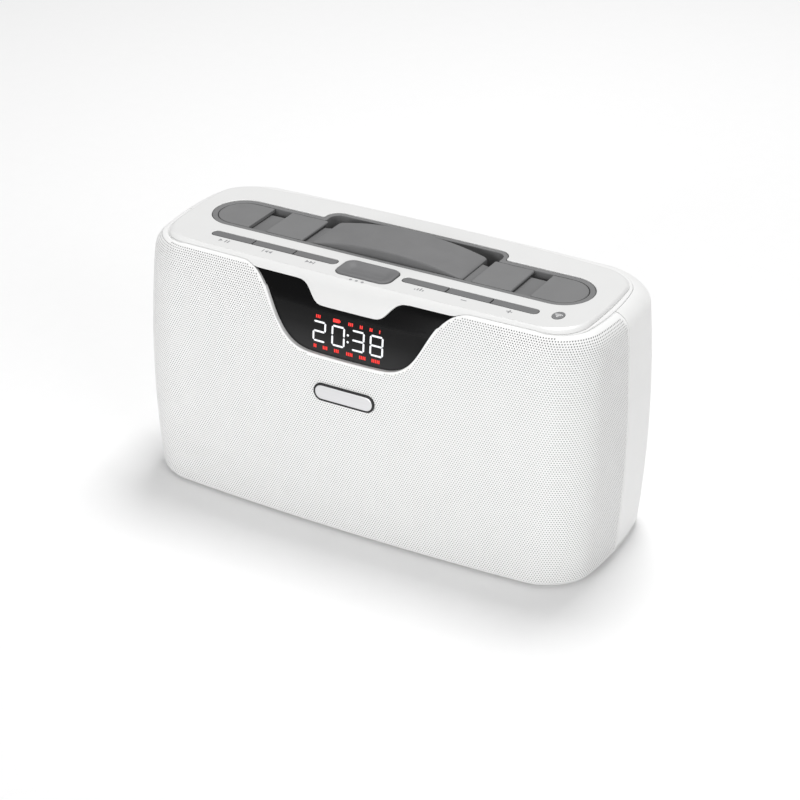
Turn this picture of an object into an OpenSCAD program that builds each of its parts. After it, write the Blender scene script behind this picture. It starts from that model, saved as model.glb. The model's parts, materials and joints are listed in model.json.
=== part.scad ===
// Portable clock radio with a carrying strap
// Free-standing table radio: a barrel-shaped cabinet with a wrapped front grille, a dark display
// window, a row of top keys and a lift-out strap handle.
// Z is up, the front faces -Y, and the feet stand on z = 0.

/* [Cabinet] */
// widest point of the cabinet, left to right
body_w = 257; // [255:1:261]
// height of the flat top panel above the table
top_z = 136; // [136:1:136]
// thickness of the moulded rear housing
wall = 2.4; // [2:0.2:2.6]
// thickness of the perforated front grille
grille_t = 1.0; // [0.8:0.1:1.0]
// thickness of the bottom plate
base_t = 3; // [2.6:0.2:3]
// depth position of the seam between the grille and the rear housing
seam_y = -2; // [-4:0.5:0]
// height of the rubber feet below the bottom plate
foot_h = 1; // [1:0.5:1]

/* [Display] */
// thickness of the display lens
lens_t = 2; // [1.6:0.2:2]
// height of one clock digit
digit_h = 11.2; // [10:0.2:11.6]
// width of one clock digit
digit_w = 7.6; // [7:0.1:7.6]
// width of one lit segment
segment_w = 1.1; // [0.8:0.05:1.1]

/* [Keys] */
// front to back width of the bar keys
key_d = 5; // [4.6:0.2:5]
// gap round each key in the top panel
key_gap = 0.35; // [0.3:0.05:0.4]
// downward travel of every key
key_travel = 0.8; // [0.6:0.1:0.8]
// width of the large key in the middle
big_key_w = 29.8; // [29:0.2:30.4]
// front to back depth of the large key
big_key_d = 16; // [15:0.2:16]

/* [Handle] */
// half the length of the handle recess
tray_half = 105.3; // [105:0.1:105.5]
// width of the grey rim round the recess
tray_rim = 2.8; // [2.6:0.1:3]
// depth of the recess floor below the top panel
tray_depth = 16; // [15:0.5:16]
// half the length of the grip
grip_half = 42; // [41:0.5:42]
// rise of the grip's arch above its ends
grip_rise = 5; // [4:0.1:5]
// width of the strap
strap_w = 20; // [18:0.5:20]
// thickness of the strap
strap_t = 2; // [1.6:0.1:2]

/* [Sound] */
// sideways position of each driver
driver_x = 74; // [73:0.5:74]
// height of the driver centres
driver_z = 58; // [57:0.5:59]
// outside radius of a driver's mounting flange
driver_r = 38; // [37:0.5:38]

/* [Hidden] */
eps = 0.01;
y_mid = 3.5;
base_z = foot_h;
base_top = base_z + base_t;
shoulder_r = 8.7;
shoulder_z = top_z - 2.4;
corner_n = 5;
long_n = 8;
short_n = 2;
outer_levels = [base_top, 22, 45, 70, 90, 102, 110, 116, 121, 124.9, 127.4, 129.7, 131.5, 132.8,
    shoulder_z];
front_levels = [base_top + 0.3, 22, 45, 70, 90, 102, 110, 115, 119.5, 124.2, 127.4, 129.7,
    131.5, 132.6, top_z - 2.7];
tray_y0 = -14.3;
tray_y1 = 17.3;
tray_mid = (tray_y0 + tray_y1) / 2;
tray_floor = top_z - tray_depth;
tray_top = top_z - 0.3;
strap_z = top_z - 3.6;
key_y = -25.3;
big_key_y = -27.4;
cover_under = top_z - 3.5;
baffle_y = -38;
board_z = 18;
port_z = 28;
white = [0.93, 0.93, 0.92];
grey = [0.42, 0.42, 0.43];
black = [0.05, 0.05, 0.055];
silver = [0.75, 0.75, 0.76];
green = [0.08, 0.3, 0.16];

// ---------- outlines ----------

function arc_pts(cx, cy, r, a0) =
    [for (k = [0 : 1 : corner_n])
        [cx + r * cos(a0 + 90 * k / corner_n), cy + r * sin(a0 + 90 * k / corner_n)]];

function edge_pts(p, q, n) = [for (k = [1 : 1 : n]) p + (q - p) * k / (n + 1)];

function warp(p, a, f, r, bs, bf, br) =
    let (yc = (r - f) / 2, hy = (r + f) / 2, u = pow(p[0] / a, 2))
    [p[0] * (1 - bs / a * pow((p[1] - yc) / hy, 2)),
        p[1] > yc ? yc + (p[1] - yc) * (1 - br / (r - yc) * u)
                  : yc + (p[1] - yc) * (1 - bf / (f + yc) * u)];

// rounded rectangle with bowed sides: half width a, front depth f, rear depth r
function outline(a, f, r, rf, rr, bs, bf, br) =
    [for (p = concat(
        arc_pts(a - rr, r - rr, rr, 0),
        edge_pts([a - rr, r], [rr - a, r], long_n),
        arc_pts(rr - a, r - rr, rr, 90),
        edge_pts([-a, r - rr], [-a, rf - f], short_n),
        arc_pts(rf - a, rf - f, rf, 180),
        edge_pts([rf - a, -f], [a - rf, -f], long_n),
        arc_pts(a - rf, rf - f, rf, 270),
        edge_pts([a, rf - f], [a, r - rr], short_n)))
        warp(p, a, f, r, bs, bf, br)];

function shoulder(z) =
    z > shoulder_z - shoulder_r
        ? shoulder_r * (1 - sqrt(max(0, 1 - pow((z - shoulder_z + shoulder_r) / shoulder_r, 2))))
        : 0;

function foot_round(z) =
    z < base_z + 3 ? 3 * (1 - sqrt(max(0, 1 - pow((base_z + 3 - z) / 3, 2)))) : 0;

function half_w(z) = body_w / 2 * (1 - 0.1 * pow((z - 68.5) / 135, 2));
function rear_full(z) = 48.8 * (1 - 0.13 * pow((z - 53) / 135, 2));
function front_full(z) = 55.8 * (1 - 0.16 * pow((z - 29) / 135, 2));
function bow(z) = let (t = max(0, min(1, (z - 108) / 26))) 4.6 - 2.8 * t * t * (3 - 2 * t);
function front_d(z) =
    (z > top_z - 26
        ? 41.4 + (front_full(z) - 41.4) * sqrt(max(0, 1 - pow((z - top_z + 26) / 26, 2)))
        : front_full(z)) - y_mid;

// one cabinet cross-section at height z, drawn t inside the outer skin
function section(z, t) =
    let (s = shoulder(min(z + t, shoulder_z)), i = t + foot_round(z))
    [for (p = outline(half_w(z) - i - s, front_d(min(z + t, top_z - 0.4)) - i,
            rear_full(z) + y_mid - i - 1.15 * s, 21 - t - 0.65 * s, 25 - t - 0.65 * s, 6, bow(z), 3))
        [p[0], p[1], z]];

function cover_line(i, f) =
    outline(body_w / 2 - 12.3 - i, f, 39 - i, 17, 15, 2.6, 1.8, 6);

module loft(rings) {
    n = len(rings[0]);
    m = len(rings);
    polyhedron(points = [for (r = rings) for (p = r) p],
        faces = concat(
            [[for (i = [0 : 1 : n - 1]) i]],
            [[for (i = [n - 1 : -1 : 0]) (m - 1) * n + i]],
            [for (k = [0 : 1 : m - 2]) for (i = [0 : 1 : n - 1])
                [k * n + i, (k + 1) * n + i, (k + 1) * n + (i + 1) % n]],
            [for (k = [0 : 1 : m - 2]) for (i = [0 : 1 : n - 1])
                [k * n + i, (k + 1) * n + (i + 1) % n, k * n + (i + 1) % n]]),
        convexity = 8);
}

module skin(levels, t) {
    loft([for (z = levels) section(z, t)]);
}

// extrude a drawing of x and z along y, from y0 to y1
module along_y(y0, y1) {
    translate([0, y1, 0]) rotate([90, 0, 0]) linear_extrude(height = y1 - y0) children();
}

// extrude a drawing of y and z along x, from x0 to x1
module along_x(x0, x1) {
    translate([x0, 0, 0]) rotate([90, 0, 90]) linear_extrude(height = x1 - x0) children();
}

module up(z0, z1) {
    translate([0, 0, z0]) linear_extrude(height = z1 - z0) children();
}

module block(x0, x1, y0, y1, z0, z1) {
    translate([x0, y0, z0]) cube([x1 - x0, y1 - y0, z1 - z0]);
}

function mirror_x(pts) = [for (i = [len(pts) - 1 : -1 : 0]) [-pts[i][0], pts[i][1]]];

// rounded rectangle with true arcs
module plate2d(x0, x1, y0, y1, r) {
    translate([x0 + r, y0]) square([x1 - x0 - 2 * r, y1 - y0]);
    translate([x0, y0 + r]) square([x1 - x0, y1 - y0 - 2 * r]);
    for (x = [x0 + r, x1 - r]) for (y = [y0 + r, y1 - r]) translate([x, y]) circle(r, $fn = 48);
}

// display window, lower right half from the bottom centre to the top corner
window_half = [[0, 97.5], [20, 97.7], [25.5, 98.5], [29.8, 100.1], [33.4, 102.6], [36.6, 106],
    [40.2, 111.6], [43.4, 118], [46.6, 124], [50, 128.4], [54.8, 132.2], [55.4, 134]];
window_line = concat(window_half, mirror_x([for (i = [1 : 1 : len(window_half) - 1])
    window_half[i]]));

// front tab of the top panel, right half
tab_half = [[0, 122.8], [14.6, 122.8], [17, 123.3], [19, 124.6], [20.8, 126.6], [22.9, 129.3],
    [25.2, 131.3], [27.6, 132.3], [30, 132.5], [30, 134.4]];
tab_line = concat(tab_half, mirror_x([for (i = [1 : 1 : len(tab_half) - 1]) tab_half[i]]));

// region of the grille seen from the side
side_line = [[-80, 0], [seam_y, 0], [seam_y, top_z + 4], [-80, top_z + 4]];

// ---------- cabinet ----------

module top_opening(i, z0, z1) {
    up(z0, z1) polygon(cover_line(i, 37.9 - i));
}

module front_grille() {
    color(white) difference() {
        skin(front_levels, 0);
        skin(concat([base_top - 1], [for (i = [1 : 1 : len(front_levels) - 2]) front_levels[i]],
            [top_z]), grille_t);
        along_x(-200, 200) difference() {
            translate([-90, -10]) square([200, 200]);
            polygon(side_line);
        }
        along_y(-90, -30) polygon(window_line);
        up(120, 140) polygon(cover_line(-2.4, 40.4));
        up(cover_under - 0.1, 150) polygon(cover_line(-0.6, 46));
    }
}

module rear_housing() {
    color(white) difference() {
        union() {
            difference() {
                skin(outer_levels, 0);
                skin(concat([base_top - 1], [for (i = [1 : 1 : len(outer_levels) - 2])
                    outer_levels[i] - (i > 8 ? wall * 0.8 : 0)], [shoulder_z - wall]), wall);
                up(120, 140) polygon(cover_line(-2.4, 40.4));
            }
            for (x = [-100, 100]) for (z = [14, 112])
                translate([x, 47.8, z]) rotate([90, 0, 0]) cylinder(h = 82.8, r = 4, $fn = 32);
        }
        along_x(-200, 200) polygon([for (p = side_line) [p[0] + 0.3, p[1]]]);
        // screw pilots and the counterbored heads
        for (x = [-100, 100]) for (z = [14, 112]) {
            translate([x, 70, z]) rotate([90, 0, 0]) cylinder(h = 27.4, r = 3.4, $fn = 32);
            translate([x, 44, z]) rotate([90, 0, 0]) cylinder(h = 14.2, r = 1.6, $fn = 32);
            translate([x, -24, z]) rotate([90, 0, 0]) cylinder(h = 20, r = 1.3, $fn = 32);
        }
        // port panel window
        along_y(40, 60) plate2d(-56, 56, port_z - 12, port_z + 12, 4);
        // bass port mouth
        translate([0, 60, 92]) rotate([90, 0, 0]) cylinder(h = 20, r = 11.2, $fn = 48);
    }
}

module base_plate() {
    color(white) difference() {
        loft([for (z = [base_z, base_z + 0.4, base_z + 1.2, base_z + 2.2, base_top])
            section(z, 0)]);
        for (x = [-96, 96]) for (y = [-34, 34])
            translate([x, y, 0]) cylinder(h = base_z + 0.8, r = 7.2, $fn = 48);
    }
}

module feet() {
    color(black) for (x = [-96, 96]) for (y = [-34, 34])
        translate([x, y, 0]) cylinder(h = base_z + 0.8, r = 7, $fn = 48);
}

module trim_ring() {
    color(white) difference() {
        up(shoulder_z - 4.6, shoulder_z + 0.1) polygon(cover_line(-2.2, 40));
        up(shoulder_z - 6, shoulder_z + 2) polygon(cover_line(-0.5, 38.3));
        block(-97, 97, -60, -30, 110, 150);
        block(-150, 150, -60, -24, cover_under - 0.3, 150);
    }
}

module top_cover() {
    color(white) difference() {
        union() {
            loft([for (v = [[cover_under, 0], [top_z - 2, 0], [top_z - 1.1, 0.3],
                    [top_z - 0.5, 0.8], [top_z - 0.1, 1.4], [top_z, 1.8]])
                [for (p = cover_line(v[1], front_d(min(v[0], top_z - 0.15))
                    + 0.25 * (top_z - v[0]) / 3.5)) [p[0], p[1], v[0]]]]);
            difference() {
                up(top_z - 9, cover_under + eps) polygon(cover_line(0.6, 37));
                up(top_z - 10, cover_under + 1) polygon(cover_line(2.8, 34));
                block(-120, 120, -60, -28, 110, cover_under);
            }
            intersection() {
                difference() {
                    skin([115, 119.5, 123.5, 126.5, 129, 130.6, 132.6, 133.2], -0.15);
                    skin([114, 119.5, 123.5, 126.5, 129, 130.6, 132.6, 134], 1.0);
                }
                along_y(-60, -36) polygon(tab_line);
            }
        }
        // handle recess opening
        up(100, 150) {
            plate2d(-tray_half - 0.3, tray_half + 0.3, tray_y0 - 0.3, tray_y1 + 0.3, 16);
            plate2d(-51.3, 51.3, 0, 26.3, 7);
        }
        // key slots
        for (s = [-1, 1]) up(100, 150)
            plate2d(min(s * (18.4 - key_gap), s * (90 + key_gap)),
                max(s * (18.4 - key_gap), s * (90 + key_gap)),
                key_y - key_d / 2 - key_gap, key_y + key_d / 2 + key_gap, 2.6);
        up(100, 150) plate2d(-big_key_w / 2 - key_gap, big_key_w / 2 + key_gap,
            big_key_y - big_key_d / 2 - key_gap, big_key_y + big_key_d / 2 + key_gap, 5);
        up(top_z - 0.5, top_z + 2) emblem2d(0.1);
    }
}

// oval badge outline on the top panel, grown by g
module emblem2d(g) {
    translate([99.6, -23.7])
        polygon([for (k = [0 : 1 : 47]) [(2.8 + g) * cos(7.5 * k), (4 + g) * sin(7.5 * k)]]);
}

module wireless_emblem() {
    color(grey) up(top_z - 0.5, top_z + 0.1) emblem2d(0);
}

module display_window() {
    color(black) intersection() {
        difference() {
            skin([90, 96, 102, 110, 115, 119.5, 123.5, 126.5, 129, 130.6, 132.2], 1.15);
            skin([89, 96, 102, 110, 115, 119.5, 123.5, 126.5, 129, 130.6, 133],
                1.15 + lens_t);
        }
        along_y(-60, -34) polygon([for (p = window_line)
            [p[0] + 1.6 * sign(p[0]) * min(1, abs(p[0]) / 20), p[1] < 98.6 ? p[1] - 1.6 : p[1]]]);
    }
}

module badge_plate() {
    color(silver) intersection() {
        difference() {
            skin([60, 70, 75, 80, 85, 92], -0.9);
            skin([59, 70, 75, 80, 85, 93], -0.02);
        }
        along_y(-60, -40) plate2d(-17, 17, 74, 83.4, 4.6);
    }
}

// ---------- handle ----------

module recess_tray() {
    color(grey) difference() {
        union() {
            up(tray_floor - 2, tray_top)
                plate2d(-tray_half, tray_half, tray_y0, tray_y1, 15.7);
            up(tray_floor - 2, tray_top) plate2d(-51, 51, 0, 26, 6.7);
        }
        up(tray_floor, 150)
            plate2d(-tray_half + tray_rim, tray_half - tray_rim, tray_y0 + tray_rim,
                tray_y1 - tray_rim, 12.9);
        up(tray_floor, 150) plate2d(-48.8, 48.8, 2, 23.8, 5);
    }
}

module end_cap(s) {
    color(grey) union() {
        up(top_z - 2.1, tray_top) difference() {
            plate2d(s > 0 ? 60 : -tray_half + tray_rim + 0.3,
                s > 0 ? tray_half - tray_rim - 0.3 : -60,
                tray_y0 + tray_rim + 0.3, tray_y1 - tray_rim - 0.3, 12.6);
            translate([s > 0 ? 50 : -78.6, -20]) square([28.6, 50]);
        }
        for (y = [tray_y0 + tray_rim + 0.3, tray_y1 - tray_rim - 1.9])
            block(s > 0 ? 78.6 : -88, s > 0 ? 88 : -78.6, y, y + 1.6, tray_floor, top_z - 2);
    }
}

module end_cap_left() { end_cap(-1); }
module end_cap_right() { end_cap(1); }

module bridge(s) {
    x0 = s > 0 ? 47.1 : -68.6;
    x1 = s > 0 ? 68.6 : -47.1;
    color(grey) union() {
        along_y(tray_y0 + tray_rim + 0.3, tray_y1 - tray_rim - 0.3) {
            translate([x0 + 0.9, top_z - 2.1]) square([x1 - x0 - 1.8, 1.8]);
            for (x = [x0 + 0.9, x1 - 0.9]) translate([x, top_z - 1.2]) circle(0.9, $fn = 48);
        }
        for (y = [tray_y0 + tray_rim + 0.3, tray_y1 - tray_rim - 1.9])
            block(x0 + 1, x1 - 1, y, y + 1.6, tray_floor, top_z - 2);
    }
}

module bridge_left() { bridge(-1); }
module bridge_right() { bridge(1); }

grip_n = 28;
grip_top = [for (i = [0 : 1 : grip_n]) let (x = -grip_half + 2 * grip_half * i / grip_n)
    [x, top_z - 0.8 + grip_rise * (1 - pow(abs(x) / grip_half, 2.2))]];
grip_low = [for (i = [grip_n : -1 : 0]) let (x = -grip_half + 2 * grip_half * i / grip_n)
    [x, top_z - 5.2 + (grip_rise - 2.3) * (1 - pow(abs(x) / grip_half, 2.2))]];

module handle_grip() {
    color(grey) intersection() {
        along_y(tray_y0 + tray_rim + 0.6, tray_y1 - tray_rim + 2.4)
            polygon(concat(grip_top, grip_low));
        up(100, 160) plate2d(-grip_half, grip_half, tray_y0 + tray_rim + 0.6,
            tray_y1 - tray_rim + 2.4, 2);
    }
}

// strap between the grip and the bridge: it bends as the grip lifts
module strap_web(s) {
    w = strap_t / 2;
    pts = [[66, strap_z - w], [66, strap_z + w], [47, strap_z + w],
        [grip_half + 0.05, strap_z + w + 0.6], [grip_half + 0.05, strap_z - w + 0.6],
        [46.6, strap_z - w]];
    color(grey) along_y(tray_mid - strap_w / 2, tray_mid + strap_w / 2)
        polygon([for (p = pts) [s * p[0], p[1]]]);
}

module strap_web_left() { strap_web(-1); }
module strap_web_right() { strap_web(1); }

module strap_tail(s) {
    color(grey) up(strap_z - strap_t / 2, strap_z + strap_t / 2)
        intersection() {
            plate2d(s > 0 ? 56 : -92, s > 0 ? 92 : -56, tray_mid - strap_w / 2,
                tray_mid + strap_w / 2, 3);
            translate([s > 0 ? 66.05 : -100, -30]) square([33.95, 60]);
        }
}

module strap_tail_left() { strap_tail(-1); }
module strap_tail_right() { strap_tail(1); }

// ---------- keys ----------

// bar key from x0 to x1; round_a and round_b say which ends are rounded
module bar_key(x0, x1, round_a, round_b) {
    y0 = key_y - key_d / 2;
    y1 = key_y + key_d / 2;
    color(grey) union() {
        up(cover_under - 1, top_z + 0.05) {
            translate([x0 + (round_a ? 2.3 : 0), y0])
                square([x1 - x0 - (round_a ? 2.3 : 0) - (round_b ? 2.3 : 0), key_d]);
            if (round_a) plate2d(x0, x0 + 8, y0, y1, 2.3);
            if (round_b) plate2d(x1 - 8, x1, y0, y1, 2.3);
        }
        block(x0 + 0.1, x1 - 0.1, y0 - 1.2, y1 + 1.2, cover_under - 2, cover_under - 0.6);
        translate([(x0 + x1) / 2, key_y, cover_under - 3]) cylinder(h = 2, r = 1.6, $fn = 32);
    }
}

module key_play() { bar_key(-90, -66.3, true, false); }
module key_previous() { bar_key(-65.7, -42.6, false, false); }
module key_next() { bar_key(-42, -18.4, false, true); }
module key_sound() { bar_key(18.4, 42, true, false); }
module key_volume_down() { bar_key(42.6, 65.7, false, false); }
module key_volume_up() { bar_key(66.3, 90, false, true); }

module key_function() {
    w = big_key_w / 2;
    d = big_key_d / 2;
    color(grey) difference() {
        union() {
            up(cover_under - 1, top_z + 0.7)
                plate2d(-w, w, big_key_y - d, big_key_y + d, 4.7);
            block(-w - 1, w + 1, big_key_y - d + 1, big_key_y + d + 1,
                cover_under - 2, cover_under - 0.6);
            translate([0, big_key_y, cover_under - 3]) cylinder(h = 2, r = 1.6, $fn = 32);
        }
        translate([0, big_key_y, top_z - 0.25 + 90]) sphere(90, $fn = 96);
    }
}

module keypad_board() {
    color(green) up(cover_under - 9, cover_under - 7.4) plate2d(-96, 96, -37, -17.5, 2);
}

module tact_switches() {
    color(black) for (x = [-78.15, -54.15, -30.2, 0, 30.2, 54.15, 78.15]) {
        y = x == 0 ? big_key_y : key_y;
        block(x - 3, x + 3, y - 3, y + 3, cover_under - 7.4, cover_under - 4.6);
        translate([x, y, cover_under - 4.7])
            cylinder(h = 0.8, r = 1.6, $fn = 32);
    }
}

// ---------- display ----------

led_y = -43.4;
digit_x = [-15.6, -5, 5.9, 16.2];
digit_z = 103.8;

module led_module() {
    color(black) block(-24, 24, led_y, led_y + 4.4, 99.6, 119);
}

module display_board() {
    color(green) block(-27, 27, led_y + 4.4, led_y + 6, 99, 121.4);
}

// one horizontal or upright segment, with pointed ends
module seg(cx, cz, len, upright) {
    h = segment_w / 2;
    l = len / 2;
    translate([cx, cz]) rotate(upright ? 90 : 0)
        polygon([[-l, 0], [h - l, h], [l - h, h], [l, 0], [l - h, -h], [h - l, -h]]);
}

// segments a to g of one digit, on is a list of seven switches
module digit(cx, on) {
    w = digit_w - segment_w;
    h = (digit_h - segment_w) / 2;
    z0 = digit_z + segment_w / 2;
    places = [[0, 2 * h, false], [w / 2, 1.5 * h, true], [w / 2, 0.5 * h, true], [0, 0, false],
        [-w / 2, 0.5 * h, true], [-w / 2, 1.5 * h, true], [0, h, false]];
    for (i = [0 : 1 : 6]) if (on[i])
        seg(cx + places[i][0], z0 + places[i][1], (places[i][2] ? h : w) - 0.35, places[i][2]);
}

module led_digits() {
    color([0.95, 0.97, 1]) along_y(led_y - 0.3, led_y) {
        digit(digit_x[0], [true, true, false, true, true, false, true]);
        digit(digit_x[1], [true, true, true, true, true, true, false]);
        digit(digit_x[2], [true, true, true, true, false, false, true]);
        digit(digit_x[3], [true, true, true, true, true, true, true]);
        for (z = [107.7, 111.3]) translate([0.4, z]) circle(0.6, $fn = 24);
    }
}

module led_icons() {
    color([0.95, 0.1, 0.08]) along_y(led_y - 0.3, led_y) {
        // upper row: a battery shape and status bars
        translate([-8.2, 116.4]) square([3.6, 1.8]);
        translate([-4.55, 116.8]) square([0.5, 1]);
        for (v = [[-17.8, 2.6], [0.3, 2.8], [6.6, 2], [12, 2], [17.2, 1]])
            translate([v[0], 116.5]) square([v[1], 1.5]);
        // lower row: mode bars
        for (v = [[-18.6, 1.8], [-13.4, 2.8], [-7, 2.8], [-0.2, 3.2], [7, 3.2], [13.8, 4.2]])
            translate([v[0], 100.7]) square([v[1], 1.5]);
    }
}

// ---------- sound ----------

module front_baffle() {
    color(black) difference() {
        along_y(baffle_y, baffle_y + 3) plate2d(-113, 113, 7, 121, 12);
        for (s = [-1, 1]) translate([s * driver_x, -20, driver_z]) rotate([90, 0, 0])
            cylinder(h = 40, r = driver_r - 4.5, $fn = 72);
        along_y(-60, -20) plate2d(-29, 29, 97, 140, 2);
        for (x = [-100, 100]) for (z = [14, 112])
            translate([x, -30, z]) rotate([90, 0, 0]) cylinder(h = 20, r = 1.7, $fn = 32);
    }
}

// turn a profile of radius and depth about a driver's axis, depth counted from the baffle
module turned(s) {
    translate([s * driver_x, baffle_y, driver_z]) rotate([-90, 0, 0])
        rotate_extrude($fn = 72) children();
}

module driver_basket(s) {
    color(black) difference() {
        union() {
            turned(s) {
                translate([driver_r - 5.6, -2.2]) square([5.6, 2.2]);
                translate([driver_r - 6.8, -0.6]) square([1.9, 4.6]);
                translate([10.5, 20.5]) square([12.5, 2]);
            }
            // four arms from the rim to the rear plate
            translate([s * driver_x, baffle_y, driver_z]) rotate([-90, 0, 0])
                for (a = [0 : 90 : 270]) rotate([0, 0, a]) translate([0, 5, 0])
                rotate([90, 0, 0]) linear_extrude(height = 10)
                polygon([[driver_r - 6.5, 1], [driver_r - 5.2, 3.2], [22.8, 21.8],
                    [21.2, 21.2]]);
        }
        for (a = [45 : 90 : 315]) translate([s * driver_x, baffle_y, driver_z])
            rotate([0, a, 0]) translate([driver_r - 2.5, 5, 0]) rotate([90, 0, 0])
            cylinder(h = 10, r = 1.5, $fn = 24);
    }
}
module driver_basket_left() { driver_basket(-1); }
module driver_basket_right() { driver_basket(1); }

module driver_magnet(s) {
    color(silver) turned(s) {
        translate([0, 22.5]) square([21, 3]);
        translate([0, 25.5]) square([22.5, 10]);
        translate([0, 35.5]) square([21, 3]);
    }
}
module driver_magnet_left() { driver_magnet(-1); }
module driver_magnet_right() { driver_magnet(1); }

module driver_surround(s) {
    r = driver_r - 9.4;
    color(black) turned(s) difference() {
        union() {
            translate([r, -1]) circle(3, $fn = 48);
            translate([r - 4, -1.6]) square([7.7, 0.6]);
        }
        translate([r, -1]) circle(2.5, $fn = 48);
        translate([r - 6, -1]) square([12, 8]);
    }
}
module driver_surround_left() { driver_surround(-1); }
module driver_surround_right() { driver_surround(1); }

module driver_cone(s) {
    r = driver_r - 13.5;
    color([0.12, 0.12, 0.12]) turned(s)
        polygon([[r + 0.4, -1], [r + 0.4, -0.4], [10, 11.6], [10, 19], [9.4, 19], [9.4, 11],
            [r - 0.4, -1]]);
}
module driver_cone_left() { driver_cone(-1); }
module driver_cone_right() { driver_cone(1); }

module driver_cap(s) {
    color([0.1, 0.1, 0.1]) turned(s) intersection() {
        difference() {
            translate([0, 18]) circle(12, $fn = 72);
            translate([0, 18]) circle(11.5, $fn = 72);
        }
        translate([0, 0]) square([9.3, 10.6]);
    }
}
module driver_cap_left() { driver_cap(-1); }
module driver_cap_right() { driver_cap(1); }

// a screw along y, head at y, driven towards +y when s is 1
module screw(x, y, z, r, len, s) {
    translate([x, y, z]) rotate([-90 * s, 0, 0]) {
        cylinder(h = len, r = r, $fn = 24);
        translate([0, 0, -1.8]) cylinder(h = 1.8, r = 2 * r, $fn = 32);
    }
}

module driver_screws() {
    color(silver) for (s = [-1, 1]) for (a = [45 : 90 : 315])
        screw(s * driver_x + (driver_r - 2.5) * cos(a), baffle_y - 2.25,
            driver_z + (driver_r - 2.5) * sin(a), 1.2, 2.2, 1);
}

module baffle_screws() {
    color(silver) for (x = [-100, 100]) for (z = [14, 112])
        screw(x, baffle_y, z, 1.2, 14, 1);
}

module case_screws() {
    color(silver) for (x = [-100, 100]) for (z = [14, 112])
        screw(x, 42.6, z, 1.5, 12, -1);
}

module bass_port() {
    color(black) translate([0, 49, 92]) rotate([90, 0, 0]) difference() {
        union() {
            cylinder(h = 12, r = 11, $fn = 48);
            translate([0, 0, 2.6]) cylinder(h = 1.5, r = 14, $fn = 48);
        }
        translate([0, 0, -1]) cylinder(h = 14, r = 9, $fn = 48);
    }
}

// ---------- power and sockets ----------

module battery_pack() {
    color([0.15, 0.25, 0.55]) for (z = [56, 75]) translate([-33, 20, z]) rotate([0, 90, 0])
        cylinder(h = 66, r = 9.3, $fn = 48);
}

module battery_bracket() {
    color(black) difference() {
        block(-36, 36, 12, 28, 44.5, 86.5);
        for (z = [56, 75]) translate([-33.1, 20, z]) rotate([0, 90, 0])
            cylinder(h = 66.2, r = 9.4, $fn = 48);
        block(-33.1, 33.1, 10, 20, 46.6, 84.4);
        block(-24, 24, 5, 40, 47, 84);
    }
    color(black) for (x = [-34.5, 34.5])
        block(x - 1.5, x + 1.5, 14, 26, base_top, 44.6);
}

module main_board() {
    color(green) difference() {
        up(board_z, board_z + 1.6) plate2d(-62, 62, -2, 46, 2);
        for (x = [-34.5, 34.5]) block(x - 2, x + 2, 13.5, 26.5, 10, 30);
    }
    color(green) for (x = [-57, 57]) for (y = [4, 40])
        translate([x, y, base_top]) cylinder(h = board_z - base_top, r = 2.5, $fn = 24);
}

module board_parts() {
    z = board_z + 1.6;
    color(black) {
        block(-8, 6, 6, 20, z, z + 1.6);
        block(-26, -18, 2, 10, z, z + 1.4);
        for (x = [16, 26]) translate([x, 6, z]) cylinder(h = 12, r = 4, $fn = 32);
        block(44, 54, 2, 12, z, z + 7);
    }
}

module port_panel() {
    color(black) difference() {
        along_y(46.5, 48.5) plate2d(-59, 59, port_z - 15, port_z + 15, 4);
        block(-43.8, -30.2, 40, 60, port_z - 6.2, port_z + 1.2);
        block(-20.2, 6.2, 40, 60, port_z - 7.2, port_z - 3.8);
        translate([18, 60, port_z]) rotate([90, 0, 0]) cylinder(h = 30, r = 3.2, $fn = 32);
        translate([33, 60, port_z - 2]) rotate([90, 0, 0]) cylinder(h = 30, r = 4.2, $fn = 32);
        block(43, 53, 40, 60, port_z - 2.5, port_z + 2.5);
    }
}

module usb_socket() {
    x = -37;
    z = port_z - 2.5;
    color(silver) difference() {
        block(x - 6.6, x + 6.6, 32, 49.4, z - 3.5, z + 3.5);
        block(x - 6.1, x + 6.1, 34, 60, z - 3, z + 3);
    }
    color(silver) block(x - 6, x + 6, 32.5, 45.5, board_z + 1.6, z - 3.4);
    color(silver) block(x - 5.6, x + 5.6, 33.9, 47.6, z + 0.6, z + 2.4);
}

module card_socket() {
    z = port_z - 5.5;
    color(silver) difference() {
        block(-20, 6, 26, 49, z - 1.6, z + 1.6);
        block(-19.2, 5.2, 28, 60, z - 1.05, z + 1.05);
    }
    color(silver) block(-19, 5, 27, 45.5, board_z + 1.6, z - 1.5);
}

module aux_jack() {
    color(black) difference() {
        union() {
            block(12.5, 23.5, 33, 46.4, board_z + 1.6, port_z + 4.5);
            translate([18, 49, port_z]) rotate([90, 0, 0]) cylinder(h = 4, r = 3, $fn = 32);
        }
        translate([18, 60, port_z]) rotate([90, 0, 0]) cylinder(h = 25, r = 1.8, $fn = 48);
    }
}

module dc_jack() {
    z = port_z - 2;
    color(black) difference() {
        union() {
            block(28.5, 37.5, 33, 46.4, board_z + 1.6, z + 4.5);
            translate([33, 49, z]) rotate([90, 0, 0]) cylinder(h = 4, r = 4, $fn = 32);
        }
        translate([33, 60, z]) rotate([90, 0, 0]) cylinder(h = 24, r = 2.8, $fn = 48);
    }
    color(silver) translate([33, 48, z]) rotate([90, 0, 0]) cylinder(h = 12.5, r = 1, $fn = 24);
}

module switch_body() {
    color(silver) block(42, 54, 38, 46.4, board_z + 1.6, port_z + 3.5);
}

module power_slider() {
    color(black) union() {
        block(43.6, 47.6, 46.7, 50.4, port_z - 2.1, port_z + 2.1);
    }
}

// ---------- assembly ----------

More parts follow.
